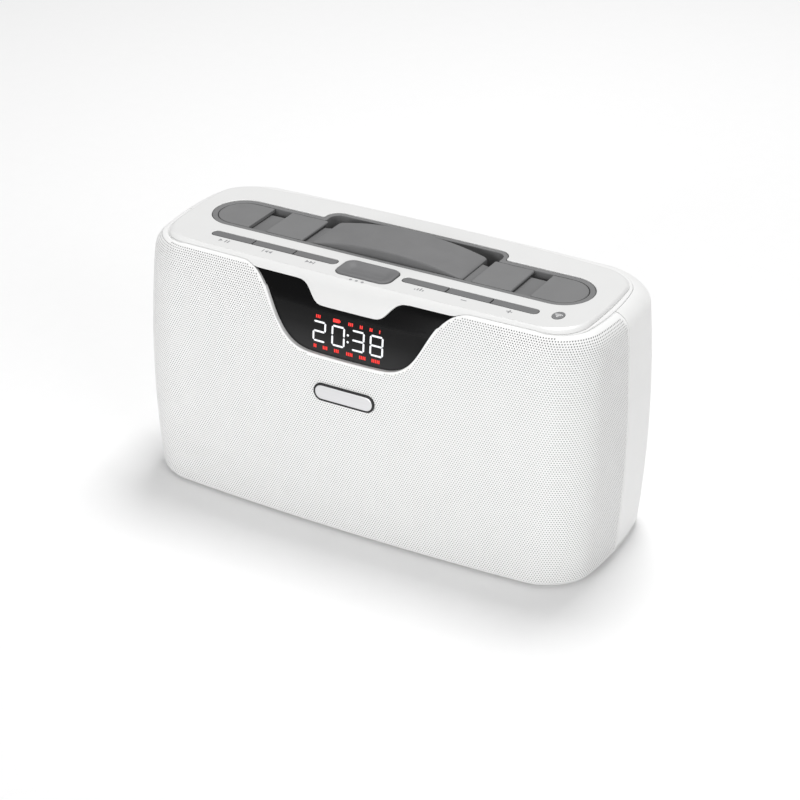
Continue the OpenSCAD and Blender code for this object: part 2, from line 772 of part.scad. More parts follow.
front_grille();
rear_housing();
base_plate();
trim_ring();
top_cover();
display_window();
badge_plate();
wireless_emblem();
recess_tray();
end_cap_left();
end_cap_right();
bridge_left();
bridge_right();
handle_grip();
strap_web_left();
strap_web_right();
strap_tail_left();
strap_tail_right();
key_play();
key_previous();
key_next();
key_function();
key_sound();
key_volume_down();
key_volume_up();
keypad_board();
tact_switches();
led_module();
led_digits();
led_icons();
display_board();
front_baffle();
driver_basket_left();
driver_basket_right();
driver_magnet_left();
driver_magnet_right();
driver_surround_left();
driver_surround_right();
driver_cone_left();
driver_cone_right();
driver_cap_left();
driver_cap_right();
driver_screws();
baffle_screws();
case_screws();
bass_port();
battery_pack();
battery_bracket();
main_board();
board_parts();
port_panel();
usb_socket();
card_socket();
aux_jack();
dc_jack();
switch_body();
power_slider();
feet();
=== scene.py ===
"""Clock radio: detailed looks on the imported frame.

Shapes are worked out in millimetres, and their meshes are made in metres.
"""
import json
import math

import bpy
import numpy as np
from mathutils import Matrix, Vector, kdtree
from mathutils.geometry import delaunay_2d_cdt


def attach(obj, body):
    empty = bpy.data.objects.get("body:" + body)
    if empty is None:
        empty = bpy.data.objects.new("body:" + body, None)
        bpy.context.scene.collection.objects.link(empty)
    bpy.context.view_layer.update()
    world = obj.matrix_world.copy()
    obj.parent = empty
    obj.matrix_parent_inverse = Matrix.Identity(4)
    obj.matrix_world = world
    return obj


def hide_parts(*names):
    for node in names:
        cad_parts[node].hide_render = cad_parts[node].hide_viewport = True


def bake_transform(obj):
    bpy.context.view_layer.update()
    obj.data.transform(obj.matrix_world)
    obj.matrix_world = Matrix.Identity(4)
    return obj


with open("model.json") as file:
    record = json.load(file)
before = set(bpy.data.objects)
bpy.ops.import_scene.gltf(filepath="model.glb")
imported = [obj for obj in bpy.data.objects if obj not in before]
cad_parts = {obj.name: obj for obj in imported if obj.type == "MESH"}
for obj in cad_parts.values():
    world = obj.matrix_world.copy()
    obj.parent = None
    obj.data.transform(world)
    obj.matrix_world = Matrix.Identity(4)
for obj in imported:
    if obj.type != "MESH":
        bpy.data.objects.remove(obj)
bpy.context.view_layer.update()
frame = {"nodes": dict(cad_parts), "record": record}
NODE = frame["nodes"]

# ---- shape helpers

MM = 0.001
POINT_KEYS, NORMAL_KEYS = 2000, 50  # points merge within 1/2000 mm where their normals agree to 1/50
CHUNK = 4000  # points tested at a time
TINY = 1e-6
DEG90 = math.pi / 2


class Shape:
    """Points in mm, each with its own normal. Faces are turned to agree with the normals."""

    def __init__(self):
        self.v, self.n, self.f, self.count = [], [], [], 0

    def add(self, pts, nrm):
        pts = np.asarray(pts, float).reshape(-1, 3)
        nrm = np.broadcast_to(np.asarray(nrm, float), pts.shape)
        self.v.append(pts)
        self.n.append(nrm)
        self.count += len(pts)
        return np.arange(self.count - len(pts), self.count)

    def strip(self, a, b, closed=True):
        a, b = np.asarray(a), np.asarray(b)
        if closed:
            a, b = np.append(a, a[0]), np.append(b, b[0])
        self.f.append(np.stack([a[:-1], a[1:], b[1:], b[:-1]], 1))

    def grid(self, pts, nrm=None, closed=False):
        """pts is rows x columns x 3. Without nrm the normals come from the grid itself."""
        pts = np.asarray(pts, float)
        if nrm is None:
            nrm = grid_normals(pts, closed)
        ids = self.add(pts.reshape(-1, 3), np.asarray(nrm).reshape(-1, 3)).reshape(pts.shape[:2])
        for k in range(len(ids) - 1):
            self.strip(ids[k], ids[k + 1], closed)
        return ids

    def fan(self, pts, nrm):
        """A flat face over a convex loop."""
        pts = np.asarray(pts, float)
        ids = self.add(pts, nrm)
        mid = self.add(pts.mean(0)[None], nrm)[0]
        self.f.append(np.stack([ids, np.roll(ids, -1), np.full(len(ids), mid)], 1))

    def tris(self, pts, nrm, faces):
        ids = self.add(pts, nrm)
        self.f.append(ids[np.asarray(faces)])

    def join(self, other):
        self.f += [f + self.count for f in other.f]
        self.v += other.v
        self.n += other.n
        self.count += other.count

    def make(self, name, slot, *replaces, body="case", parent=True):
        """The piece itself, with the finish named slot. The CAD nodes that it replaces are hidden."""
        v, n = np.concatenate(self.v), np.concatenate(self.n)
        n = n / np.maximum(np.linalg.norm(n, axis=1, keepdims=True), 1e-9)
        key = np.round(np.hstack([v * POINT_KEYS, n * NORMAL_KEYS])).astype(np.int64)
        _, first, inv = np.unique(key, axis=0, return_index=True, return_inverse=True)
        inv = inv.ravel()
        v, n = v[first], n[first]
        polys = []
        for f in self.f:
            f = inv[f]
            if f.shape[1] == 4:
                bad = (f == np.roll(f, -1, 1)).any(1)
                polys += [list(dict.fromkeys(q)) for q in f[bad].tolist()]
                f = f[~bad]
                normal = np.cross(v[f[:, 2]] - v[f[:, 0]], v[f[:, 3]] - v[f[:, 1]])
            else:
                normal = np.cross(v[f[:, 1]] - v[f[:, 0]], v[f[:, 2]] - v[f[:, 0]])
            wrong = (normal * n[f].sum(1)).sum(1) < 0
            f[wrong] = f[wrong][:, ::-1]
            polys += f[np.linalg.norm(normal, axis=1) > 1e-9].tolist()
        fixed = []
        for p in polys:
            if len(set(p)) < 3:
                continue
            if len(p) == 3:
                g = np.cross(v[p[1]] - v[p[0]], v[p[2]] - v[p[0]])
                if g @ (n[p[0]] + n[p[1]] + n[p[2]]) < 0:
                    p = p[::-1]
            fixed.append(p)
        me = bpy.data.meshes.new(name)
        me.from_pydata((v * MM).tolist(), [], fixed)
        me.validate()
        me.update()
        me.shade_smooth()
        if len(me.vertices) == len(n):
            me.normals_split_custom_set_from_vertices(n.tolist())
        me.materials.append(M[slot])
        ob = bpy.data.objects.new(name, me)
        bpy.context.scene.collection.objects.link(ob)
        if parent:
            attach(ob, body)
        if replaces:
            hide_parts(*replaces)
        return ob


def unit(a):
    return a / np.maximum(np.linalg.norm(a, axis=-1, keepdims=True), 1e-12)


def grid_normals(p, closed=False):
    if closed:
        du = np.roll(p, -1, 1) - np.roll(p, 1, 1)
    else:
        du = np.gradient(p, axis=1)
    dv = np.gradient(p, axis=0)
    n = unit(np.cross(du, dv))
    mid = p.reshape(-1, 3).mean(0)
    if ((p - mid) * n).sum() < 0:
        n = -n
    return n


def smooth(t):
    t = np.clip(t, 0, 1)
    return t * t * (3 - 2 * t)


def circle(x):
    """Height of a unit circle at x."""
    return math.sqrt(max(0, 1 - x**2))


def at_z(pts, z):
    """Points of the plane at height z."""
    return np.column_stack([pts, np.full(len(pts), z)])


def fillet(corners, n=12):
    """A closed outline through corners (x, y, radius), each rounded."""
    out = []
    m = len(corners)
    for k, (x, y, r) in enumerate(corners):
        p = np.array([x, y], float)
        if r <= 0:
            out.append(p)
            continue
        a = unit(np.array(corners[k - 1][:2], float) - p)
        b = unit(np.array(corners[(k + 1) % m][:2], float) - p)
        ang = math.acos(max(-1, min(1, float(a @ b))))
        d = r / math.tan(ang / 2)
        c = p + unit(a + b) * (r / math.sin(ang / 2))
        v1, v2 = p + a * d - c, p + b * d - c
        t1, t2 = math.atan2(v1[1], v1[0]), math.atan2(v2[1], v2[0])
        dt = (t2 - t1 + math.pi) % (2 * math.pi) - math.pi
        for i in range(n + 1):
            t = t1 + dt * i / n
            out.append(c + r * np.array([math.cos(t), math.sin(t)]))
    return np.array(out)


def plate(x0, x1, y0, y1, r, n=12):
    return fillet([(x0, y0, r), (x1, y0, r), (x1, y1, r), (x0, y1, r)], n)


def oval(cx, cy, a, b, n=48):
    t = np.arange(n) * 2 * math.pi / n
    return np.stack([cx + a * np.cos(t), cy + b * np.sin(t)], 1)


def dense(loop, step):
    """The same closed outline with points at most step apart."""
    out = []
    for k in range(len(loop)):
        a, b = loop[k], loop[(k + 1) % len(loop)]
        m = max(1, int(math.ceil(np.linalg.norm(b - a) / step)))
        out += [a + (b - a) * i / m for i in range(m)]
    return np.array(out)


def ccw(loop):
    x, y = loop[:, 0], loop[:, 1]
    area = (x * np.roll(y, -1) - np.roll(x, -1) * y).sum()
    return loop if area > 0 else loop[::-1]


def out_normals(loop):
    """(mitred, unit) outward normals of a counter-clockwise outline."""
    e = unit(np.roll(loop, -1, 0) - loop)
    en = np.stack([e[:, 1], -e[:, 0]], 1)
    s = en + np.roll(en, 1, 0)
    u = unit(s)
    c = np.maximum((u * en).sum(1), 0.5)
    return u / c[:, None], u


def inside(pts, loops):
    """Even-odd test of points against closed outlines."""
    hit = np.zeros(len(pts), bool)
    for a0 in range(0, len(pts), CHUNK):
        p = pts[a0 : a0 + CHUNK]
        acc = np.zeros(len(p), np.int64)
        for loop in loops:
            a, b = loop, np.roll(loop, -1, 0)
            up = (a[None, :, 1] > p[:, None, 1]) != (b[None, :, 1] > p[:, None, 1])
            dy = b[:, 1] - a[:, 1]
            dy = np.where(np.abs(dy) < 1e-12, 1e-12, dy)
            x = a[None, :, 0] + (p[:, None, 1] - a[None, :, 1]) * ((b[:, 0] - a[:, 0]) / dy)[None]
            acc += (up & (p[:, None, 0] < x)).sum(1)
        hit[a0 : a0 + CHUNK] = acc % 2 == 1
    return hit


def fill(loops, extra=()):
    """Triangles between outlines, with extra inner points. Returns points and faces in the plane."""
    pts, edges = [], []
    for loop in loops:
        i = len(pts)
        pts += [tuple(p) for p in loop]
        edges += [(i + k, i + (k + 1) % len(loop)) for k in range(len(loop))]
    pts += [tuple(p) for p in extra]
    got = delaunay_2d_cdt([Vector(p) for p in pts], edges, [], 0, TINY)
    v = np.array([tuple(p) for p in got[0]])
    f = np.array([list(t) for t in got[2]])
    return v, f[inside(v[f].mean(1), loops)]


def lattice(xs, ys, loops):
    """Grid points that lie inside the outlines."""
    gx, gy = np.meshgrid(xs, ys)
    g = np.stack([gx.ravel(), gy.ravel()], 1)
    return g[inside(g, loops)]


def edge_rings(shape, loop, z, bottom, r, seg=5, hole=False):
    """Rounded edge and wall below a flat face at height z. Returns the flat face's own outline."""
    loop = ccw(loop)
    nm, nu = out_normals(loop)
    if hole:
        nm, nu = -nm, -nu
    last = None
    for k in range(seg + 1):
        t = DEG90 * k / seg
        p = at_z(loop - nm * r * (1 - math.sin(t)), z - r * (1 - math.cos(t)))
        ids = shape.add(p, at_z(nu * math.sin(t), math.cos(t)))
        if last is not None:
            shape.strip(last, ids)
        last = ids
    shape.strip(last, shape.add(at_z(loop, bottom), at_z(nu, 0.0)))
    return loop - nm * r


def flat(shape, loops, z, up=1):
    v, f = fill(loops)
    shape.tris(at_z(v, z), (0, 0, up), f)


def slab(loop, z, bottom, r, seg):
    """A plate with a rounded upper edge, closed underneath."""
    s = Shape()
    flat(s, [edge_rings(s, loop, z, bottom, r, seg)], z)
    flat(s, [ccw(loop)], bottom, -1)
    return s


# ---- cabinet form

BODY_W, TOP_Z, Y_MID = 257.0, 136.0, 3.5
BASE_Z, BASE_TOP, SHOULDER_R, SHOULDER_Z = 1.0, 4.0, 8.7, 133.6
SEAM_Y, EDGE_Z = -2.0, 133.4
TAPER_Z = 135  # height over which the body tapers
ROLL_Z, ROLL_D = 26, 41.4  # height of the front's roll back to the panel, and its depth there
FOOT_R = 3  # rounding round the bottom


def taper(z, amount, widest):
    return 1 - amount * ((z - widest) / TAPER_Z) ** 2


def half_w(z):
    return BODY_W / 2 * taper(z, 0.1, 68.5)


def rear_d(z):
    return 48.8 * taper(z, 0.13, 53) + Y_MID


def front_d(z):
    f = 55.8 * taper(z, 0.16, 29)
    if z > TOP_Z - ROLL_Z:
        f = ROLL_D + (f - ROLL_D) * circle((z - TOP_Z + ROLL_Z) / ROLL_Z)
    return f - Y_MID


def shoulder(z):
    if z <= SHOULDER_Z - SHOULDER_R:
        return 0.0
    return SHOULDER_R * (1 - circle((z - SHOULDER_Z + SHOULDER_R) / SHOULDER_R))


def foot_round(z):
    return FOOT_R * (1 - circle((BASE_Z + FOOT_R - z) / FOOT_R)) if z < BASE_Z + FOOT_R else 0.0


def half_outline(a, f, r, rf, rr, bs, bf, br):
    """Right half of a cross-section, from the middle of the front to the middle of the rear.

    Half width a, depth f in front and r behind, corner radii rf and rr, and how far the side, the
    front and the rear bow: bs, bf and br.
    """

    def arc(cx, cy, rad, a0, m):
        t = np.radians(a0 + 90 * np.arange(m) / m)
        return np.stack([cx + rad * np.cos(t), cy + rad * np.sin(t)], 1)

    def line(p, q, m):
        return np.array(p) + (np.array(q) - np.array(p)) * (np.arange(m) / m)[:, None]

    m = (44, 26, 22, 26, 44)
    p = np.concatenate([
        line((0, -f), (a - rf, -f), m[0]), arc(a - rf, rf - f, rf, -90, m[1]),
        line((a, rf - f), (a, r - rr), m[2]), arc(a - rr, r - rr, rr, 0, m[3]),
        line((a - rr, r), (0, r), m[4]), np.array([[0.0, r]])])
    yc, hy, u = (r - f) / 2, (r + f) / 2, (p[:, 0] / a) ** 2
    x = p[:, 0] * (1 - bs / a * ((p[:, 1] - yc) / hy) ** 2)
    bent = np.where(p[:, 1] > yc, 1 - br / (r - yc) * u, 1 - bf / (f + yc) * u)
    return np.stack([x, yc + (p[:, 1] - yc) * bent], 1)


def bow(z):
    return 4.6 - 2.8 * float(smooth((z - 108) / 26))


def section(z):
    """Right half of the cabinet's cross-section at height z."""
    sh = shoulder(min(z, SHOULDER_Z))
    i = foot_round(z)
    return half_outline(half_w(z) - i - sh, front_d(min(z, TOP_Z - 0.4)) - i, rear_d(z) - i - 1.15 * sh,
                        21 - 0.65 * sh, 25 - 0.65 * sh, 6, bow(z), 3)


def cover_half(i, f):
    """Right half of the top panel's outline, inset by i, with depth f in front."""
    return half_outline(BODY_W / 2 - 12.3 - i, f, 39 - i, 17, 15, 2.6, 1.8, 6)


def closed(half):
    """The whole outline from its right half."""
    left = half[1:-1][::-1] * np.array([-1, 1])
    return np.concatenate([half, left])


def shoulder_levels(degrees):
    return 124.9 + 8.7 * np.sin(np.radians(degrees))


# the cabinet's skin as tables: one row for each height, one column for each step along the outline
STEP = 0.5
COLS = np.arange(0, 200, STEP)
ROW_Z = np.concatenate([np.arange(1.6, 4.0, 0.2), np.arange(4.0, 124.6, 0.5),
                        shoulder_levels(np.arange(0, 89, 1.5)), np.arange(133.6, 134.95, 0.1)])
LAST = 1.0001  # keeps a lookup inside the last cell of a table


def build_tables():
    fx, fy, rx, ry, sf, sr, vf, vr = [], [], [], [], [], [], [0.0], [0.0]
    last = None
    for z in ROW_Z:
        h = section(z)
        s = np.concatenate([[0], np.cumsum(np.linalg.norm(np.diff(h, axis=0), axis=1))])
        fx.append(np.interp(COLS, s, h[:, 0]))
        fy.append(np.interp(COLS, s, h[:, 1]))
        q = s[-1] - s[::-1]
        g = h[::-1]
        rx.append(np.interp(COLS, q, g[:, 0]))
        ry.append(np.interp(COLS, q, g[:, 1]))
        cut = float(np.interp(SEAM_Y, h[:, 1], s))
        sf.append(cut)
        sr.append(s[-1] - cut)
        if last is not None:
            vf.append(vf[-1] + math.hypot(z - last[0], h[0, 1] - last[1]))
            vr.append(vr[-1] + math.hypot(z - last[0], h[-1, 1] - last[2]))
        last = (z, h[0, 1], h[-1, 1])
    return [np.array(x) for x in (fx, fy, rx, ry, sf, sr, vf, vr)]


FX, FY, RX, RY, SEAM_F, SEAM_B, V_F, V_B = build_tables()
ROWS = np.arange(len(ROW_Z))


def table_point(tx, ty, vs, u, v):
    j = np.clip(np.interp(v, vs, ROWS), 0, len(ROWS) - LAST)
    i = np.clip(np.abs(u) / STEP, 0, len(COLS) - LAST)
    j0, i0 = j.astype(int), i.astype(int)
    a, b = j - j0, i - i0

    def mix(t):
        return (t[j0, i0] * (1 - a) * (1 - b) + t[j0 + 1, i0] * a * (1 - b)
                + t[j0, i0 + 1] * (1 - a) * b + t[j0 + 1, i0 + 1] * a * b)

    return np.stack([mix(tx) * np.sign(u + 1e-12), mix(ty), np.interp(v, vs, ROW_Z)], 1)


def frame_at(side, uv):
    """Point and tangent frame (right, up, out) of the cabinet skin at (u, v) on the front or the back."""
    tx, ty, vs = (FX, FY, V_F) if side == "front" else (RX, RY, V_B)
    u, v = np.asarray(uv, float).T
    p = table_point(tx, ty, vs, u, v)
    tu = unit(table_point(tx, ty, vs, u + 0.3, v) - table_point(tx, ty, vs, u - 0.3, v))
    tv = unit(table_point(tx, ty, vs, u, v + 0.25) - table_point(tx, ty, vs, u, v - 0.25))
    n = unit(np.cross(tu, tv)) if side == "front" else unit(np.cross(tv, tu))
    return p, tu, tv, n


def to_uv(side, xz):
    """(u, v) of points given by x and z, on the front or the back."""
    tx, vs = (FX, V_F) if side == "front" else (RX, V_B)
    out = []
    for x, z in xz:
        j = int(np.clip(np.interp(z, ROW_Z, ROWS), 0, len(ROWS) - 2))
        t = (z - ROW_Z[j]) / (ROW_Z[j + 1] - ROW_Z[j])
        row = tx[j] * (1 - t) + tx[j + 1] * t
        k = int(np.argmax(row))
        u = math.copysign(np.interp(abs(x), row[: k + 1], COLS[: k + 1]), x)
        out.append((u, skin_v(z, vs)))
    return np.array(out)


def skin_v(z, vs):
    return float(np.interp(z, ROW_Z, vs))


def edge_levels(z0, straight, first_degree, curved):
    """Heights along the seam, closer together towards the top."""
    curve_z = 119
    degrees = np.linspace(first_degree, 90, curved)
    return np.concatenate([np.linspace(z0, curve_z, straight),
                           curve_z + (EDGE_Z - curve_z) * np.sin(np.radians(degrees))])


def skin_rings(shape, side, loop, r, depth, seg=4, hole=False):
    """Rounded edge rolled inwards from an outline drawn on the skin.

    Returns the outline of the surface between.
    """
    loop = ccw(loop)
    nm, nu = out_normals(loop)
    if hole:
        nm, nu = -nm, -nu
    last = None
    for k in range(seg + 2):
        t = DEG90 * min(k, seg) / seg
        p, tu, tv, n = frame_at(side, loop - nm * r * (1 - math.sin(t)))
        d = -r * (1 - math.cos(t)) if k <= seg else -depth
        nn = n * math.cos(t) + (tu * nu[:, :1] + tv * nu[:, 1:]) * math.sin(t)
        ids = shape.add(p + n * d, nn)
        if last is not None:
            shape.strip(last, ids)
        last = ids
    return loop - nm * r


def skin_patch(shape, side, loops, inner, d=0.0):
    v, f = fill(loops, inner)
    p, _, _, n = frame_at(side, v)
    shape.tris(p + n * d, n, f)


def smooth_path(pts, times=2):
    """Rounds the corners of an open path, keeping its ends."""
    p = np.array(pts, float)
    for _ in range(times):
        q = [p[0]]
        for a, b in zip(p[:-1], p[1:]):
            q += [a * 0.75 + b * 0.25, a * 0.25 + b * 0.75]
        q.append(p[-1])
        p = np.array(q)
    return p


# right halves, as (x, z), of the window's edge and of the panel's front tongue
WINDOW = smooth_path([(0, 97.5), (20, 97.7), (25.5, 98.5), (29.8, 100.1), (33.4, 102.6), (36.6, 106),
                      (40.2, 111.6), (43.4, 118), (46.6, 124), (49.3, 127.6), (51.8, 130.1), (54.4, 132.1),
                      (57.6, 133.5), (61.5, 134.3), (66, 134.35)])
TAB = smooth_path([(0, 122.8), (14.6, 122.8), (17, 123.3), (19, 124.6), (20.8, 126.6), (22.9, 129.3),
                   (25.2, 131.3), (27.8, 132.3), (31, 132.5)])
WINDOW[:, 0] -= 0.5 * np.clip(WINDOW[:, 0] / 20, 0, 1) * (WINDOW[:, 1] < 126)


def mirrored(half):
    """A closed or open left-right outline from its right half, which starts on the middle line."""
    return np.concatenate([(half * np.array([-1, 1]))[:0:-1], half])


# ---- materials


ROUGH_SPREAD = 0.05
BLOTCH_SCALE = 90.0


def new_material(name):
    m = bpy.data.materials.new(name)
    m.use_nodes = True
    return m, m.node_tree, m.node_tree.nodes["Principled BSDF"]


def noise(t, source, scale, detail=2.0):
    n = t.nodes.new("ShaderNodeTexNoise")
    n.inputs["Scale"].default_value = scale
    n.inputs["Detail"].default_value = detail
    t.links.new(source, n.inputs["Vector"])
    return n.outputs["Fac"]


def material(name, colour, rough, bump, scale=2500, tint=0.03, metal=0.0, coat=0.0, coat_rough=0.1,
             stretch=None, sheen=0.0):
    """Procedural finish: soft colour blotches, roughness variation and a fine surface grain."""
    m, t, b = new_material(name)
    b.inputs["Metallic"].default_value = metal
    b.inputs["IOR"].default_value = 1.45
    b.inputs["Coat Weight"].default_value = coat
    b.inputs["Coat Roughness"].default_value = coat_rough
    b.inputs["Sheen Weight"].default_value = sheen
    source = t.nodes.new("ShaderNodeTexCoord").outputs["Object"]
    if stretch:
        mp = t.nodes.new("ShaderNodeMapping")
        mp.inputs["Scale"].default_value = stretch
        t.links.new(source, mp.inputs["Vector"])
        source = mp.outputs["Vector"]
    big, fine = noise(t, source, BLOTCH_SCALE, 3.0), noise(t, source, scale, 4.0)
    ramp = t.nodes.new("ShaderNodeValToRGB")
    ends = ramp.color_ramp.elements
    ends[0].position, ends[1].position = 0.3, 0.7
    ends[0].color = (*[max(0, c * (1 - tint)) for c in colour], 1)
    ends[1].color = (*[min(1, c * (1 + tint)) for c in colour], 1)
    t.links.new(big, ramp.inputs["Fac"])
    t.links.new(ramp.outputs["Color"], b.inputs["Base Color"])
    spread = t.nodes.new("ShaderNodeMapRange")
    spread.inputs["To Min"].default_value = rough - ROUGH_SPREAD
    spread.inputs["To Max"].default_value = rough + ROUGH_SPREAD
    t.links.new(fine, spread.inputs["Value"])
    t.links.new(spread.outputs["Result"], b.inputs["Roughness"])
    grain = t.nodes.new("ShaderNodeBump")
    grain.inputs["Strength"].default_value = bump
    grain.inputs["Distance"].default_value = 0.0001
    t.links.new(fine, grain.inputs["Height"])
    t.links.new(grain.outputs["Normal"], b.inputs["Normal"])
    return m


def lit(name, colour, strength):
    """Light behind frosted plastic, a little uneven in brightness."""
    m, t, b = new_material(name)
    b.inputs["Base Color"].default_value = (*[c * 0.5 for c in colour], 1)
    b.inputs["Roughness"].default_value = 0.4
    b.inputs["Emission Strength"].default_value = strength
    ramp = t.nodes.new("ShaderNodeValToRGB")
    ramp.color_ramp.elements[0].color = (*[c * 0.85 for c in colour], 1)
    ramp.color_ramp.elements[1].color = (*colour, 1)
    source = t.nodes.new("ShaderNodeTexCoord").outputs["Object"]
    t.links.new(noise(t, source, 900), ramp.inputs["Fac"])
    t.links.new(ramp.outputs["Color"], b.inputs["Emission Color"])
    return m


LENS_REFLECTION_FADE = (0.098, 0.126)  # heights in metres over which the painted reflection fades and the lens turns black


def smoked_lens():
    """Dark glossy plastic: black above, with a painted reflection that makes it paler towards its lower
    edge.
    """
    m, t, b = new_material("smoked_lens")
    b.inputs["Roughness"].default_value = 0.12
    b.inputs["IOR"].default_value = 1.25
    source = t.nodes.new("ShaderNodeTexCoord").outputs["Object"]
    split = t.nodes.new("ShaderNodeSeparateXYZ")
    rng = t.nodes.new("ShaderNodeMapRange")
    rng.inputs["From Min"].default_value, rng.inputs["From Max"].default_value = LENS_REFLECTION_FADE
    add = t.nodes.new("ShaderNodeMath")
    add.operation = "MULTIPLY_ADD"
    add.inputs[1].default_value = 0.06
    # painted reflection: pale grey low on the lens, fading to near black above
    ramp = t.nodes.new("ShaderNodeValToRGB")
    ramp.color_ramp.elements[0].color = (0.034, 0.034, 0.035, 1)
    ramp.color_ramp.elements[1].position = 0.95
    ramp.color_ramp.elements[1].color = (0.0015, 0.0015, 0.0017, 1)
    mid = ramp.color_ramp.elements.new(0.5)
    mid.color = (0.009, 0.009, 0.0093, 1)
    t.links.new(source, split.inputs["Vector"])
    t.links.new(split.outputs["Z"], rng.inputs["Value"])
    t.links.new(noise(t, source, 40), add.inputs[0])
    t.links.new(rng.outputs["Result"], add.inputs[2])
    t.links.new(add.outputs["Value"], ramp.inputs["Fac"])
    t.links.new(ramp.outputs["Color"], b.inputs["Base Color"])
    return m


# colour, roughness and the rest of each finish
FINISHES = {
    "grille_white": ((0.885, 0.885, 0.88), 0.5, dict(bump=0.2, scale=5000, tint=0.003)),
    "cabinet_white": ((0.84, 0.84, 0.835), 0.42, dict(bump=0.12, scale=4200, tint=0.01)),
    "panel_white": ((0.77, 0.77, 0.765), 0.34,
                    dict(bump=0.05, scale=4000, tint=0.008, coat=0.25, coat_rough=0.2)),
    "badge_silver": ((0.72, 0.72, 0.73), 0.3,
                     dict(bump=0.35, scale=700, metal=1.0, stretch=(0.12, 1, 6))),
    "badge_rim": ((0.012, 0.012, 0.013), 0.28, dict(bump=0.05, tint=0.1)),
    "tray_grey": ((0.185, 0.185, 0.187), 0.55, dict(bump=0.35, scale=3800)),
    "strap_rubber": ((0.165, 0.165, 0.167), 0.6, dict(bump=0.4, scale=3600, tint=0.04, sheen=0.05)),
    "key_grey": ((0.16, 0.16, 0.163), 0.5, dict(bump=0.3, scale=4200)),
    "print_grey": ((0.3, 0.3, 0.31), 0.5, dict(bump=0.05, tint=0.05)),
    "print_light": ((0.85, 0.85, 0.85), 0.45, dict(bump=0.05)),
    "circuit_board": ((0.02, 0.12, 0.05), 0.35, dict(bump=0.3, scale=900, tint=0.25)),
    "emblem_grey": ((0.2, 0.2, 0.205), 0.4, dict(bump=0.1, tint=0.04)),
    "magnet_steel": ((0.5, 0.5, 0.51), 0.35, dict(bump=0.2, scale=1200, tint=0.06, metal=1.0)),
    "surround_rubber": ((0.02, 0.02, 0.02), 0.6, dict(bump=0.3, tint=0.2)),
    "cone_paper": ((0.03, 0.03, 0.032), 0.8, dict(bump=0.7, scale=1800, tint=0.3)),
    "screw_steel": ((0.5, 0.5, 0.5), 0.32, dict(bump=0.2, scale=3000, tint=0.06, metal=1.0)),
    "cell_wrap": ((0.03, 0.07, 0.3), 0.25, dict(bump=0.1, scale=600, tint=0.1)),
    "socket_steel": ((0.7, 0.7, 0.71), 0.25,
                     dict(bump=0.15, scale=1500, tint=0.04, metal=1.0, stretch=(1, 0.2, 1))),
    "foot_rubber": ((0.025, 0.025, 0.026), 0.7, dict(bump=0.5, scale=3000, tint=0.15)),
    "black_plastic": ((0.025, 0.025, 0.027), 0.45, dict(bump=0.3, scale=3200, tint=0.15)),
    "grille_cloth": ((0.4, 0.4, 0.4), 0.9, dict(bump=0.9, scale=2600, tint=0.12, sheen=0.2)),
}
M = {name: material(name, colour, rough, **rest) for name, (colour, rough, rest) in FINISHES.items()}
M["smoked_lens"] = smoked_lens()
M["lit_white"] = lit("lit_white", (0.95, 0.97, 1.0), 0.7)
M["lit_red"] = lit("lit_red", (1.0, 0.02, 0.012), 0.85)

# every carried-over CAD node gets the finish of its slot
for part in frame["record"]["subparts"]:
    ob = NODE[part["node"]]
    ob.data.materials.clear()
    ob.data.materials.append(M[part["material_slot"]])

# ---- perforated front grille

PITCH, HOLE = 1.33, 0.335  # between holes, and a hole's radius
EDGE_R, RIM_D = 0.35, 2.4
SINK = 0.03  # each hole's edge lies a little below the skin
CLOTH_D = -0.75
GRILLE_LOW = 1.8


def grille_top(x):
    """Height of the grille's top edge: up to the panel in the middle, lower at the corners."""
    return EDGE_Z + 0.95 * (1 - float(smooth((abs(x) - 94) / 14)))


def grille_outline():
    """Right half of the grille's edge as (u, v), from the middle below round to the window's middle."""
    low = skin_v(GRILLE_LOW, V_F)
    end = float(np.interp(GRILLE_LOW, ROW_Z, SEAM_F))
    out = [(end * k / 120, low) for k in range(120)]
    for z in edge_levels(GRILLE_LOW, 90, 2, 40):
        out.append((float(np.interp(z, ROW_Z, SEAM_F)) - 0.1, skin_v(z, V_F)))
    # along the top edge back to the window
    for u in np.linspace(out[-1][0], 66.8, 110)[1:]:
        x = float(frame_at("front", [(u, skin_v(EDGE_Z, V_F))])[0][0, 0])
        out.append((u, skin_v(grille_top(x), V_F)))
    out += [tuple(p) for p in to_uv("front", WINDOW[::-1])]
    return np.array(out)


edge_loop = ccw(dense(mirrored(grille_outline()[::-1])[:-1], 0.9))
border = Shape()
flat_loop = skin_rings(border, "front", edge_loop, EDGE_R, RIM_D)
rim_points = dense(flat_loop, 0.35)
tree = kdtree.KDTree(len(rim_points))
for k, p in enumerate(rim_points):
    tree.insert((p[0], p[1], 0), k)
tree.balance()
# a staggered lattice of hexagonal cells, one hole in each, kept clear of the rim
row_h = PITCH * math.sqrt(3) / 2
lo, hi = flat_loop.min(0), flat_loop.max(0)
cells = []
for j in range(int(lo[1] / row_h), int(hi[1] / row_h) + 1):
    n0 = int(hi[0] / PITCH) + 1
    u = (np.arange(-n0, n0 + 1) + 0.5 * (j % 2)) * PITCH
    cells.append(np.stack([u, np.full(len(u), j * row_h)], 1))
cells = np.concatenate(cells)
cells = cells[inside(cells, [flat_loop])]
R = PITCH / math.sqrt(3)
far = np.array([tree.find((c[0], c[1], 0))[2] for c in cells])
top_gap = np.interp(cells[:, 1], [V_F[-1] - 12, V_F[-1] - 4], [0.0, 0.1])
cells = cells[far > R + 0.08 + top_gap]
ang = np.radians(30 + 60 * np.arange(6))
hexa = np.stack([np.cos(ang), np.sin(ang)], 1)
cell_set = {(int(round(c[1] / row_h)), int(round(c[0] / PITCH * 2))) for c in cells}


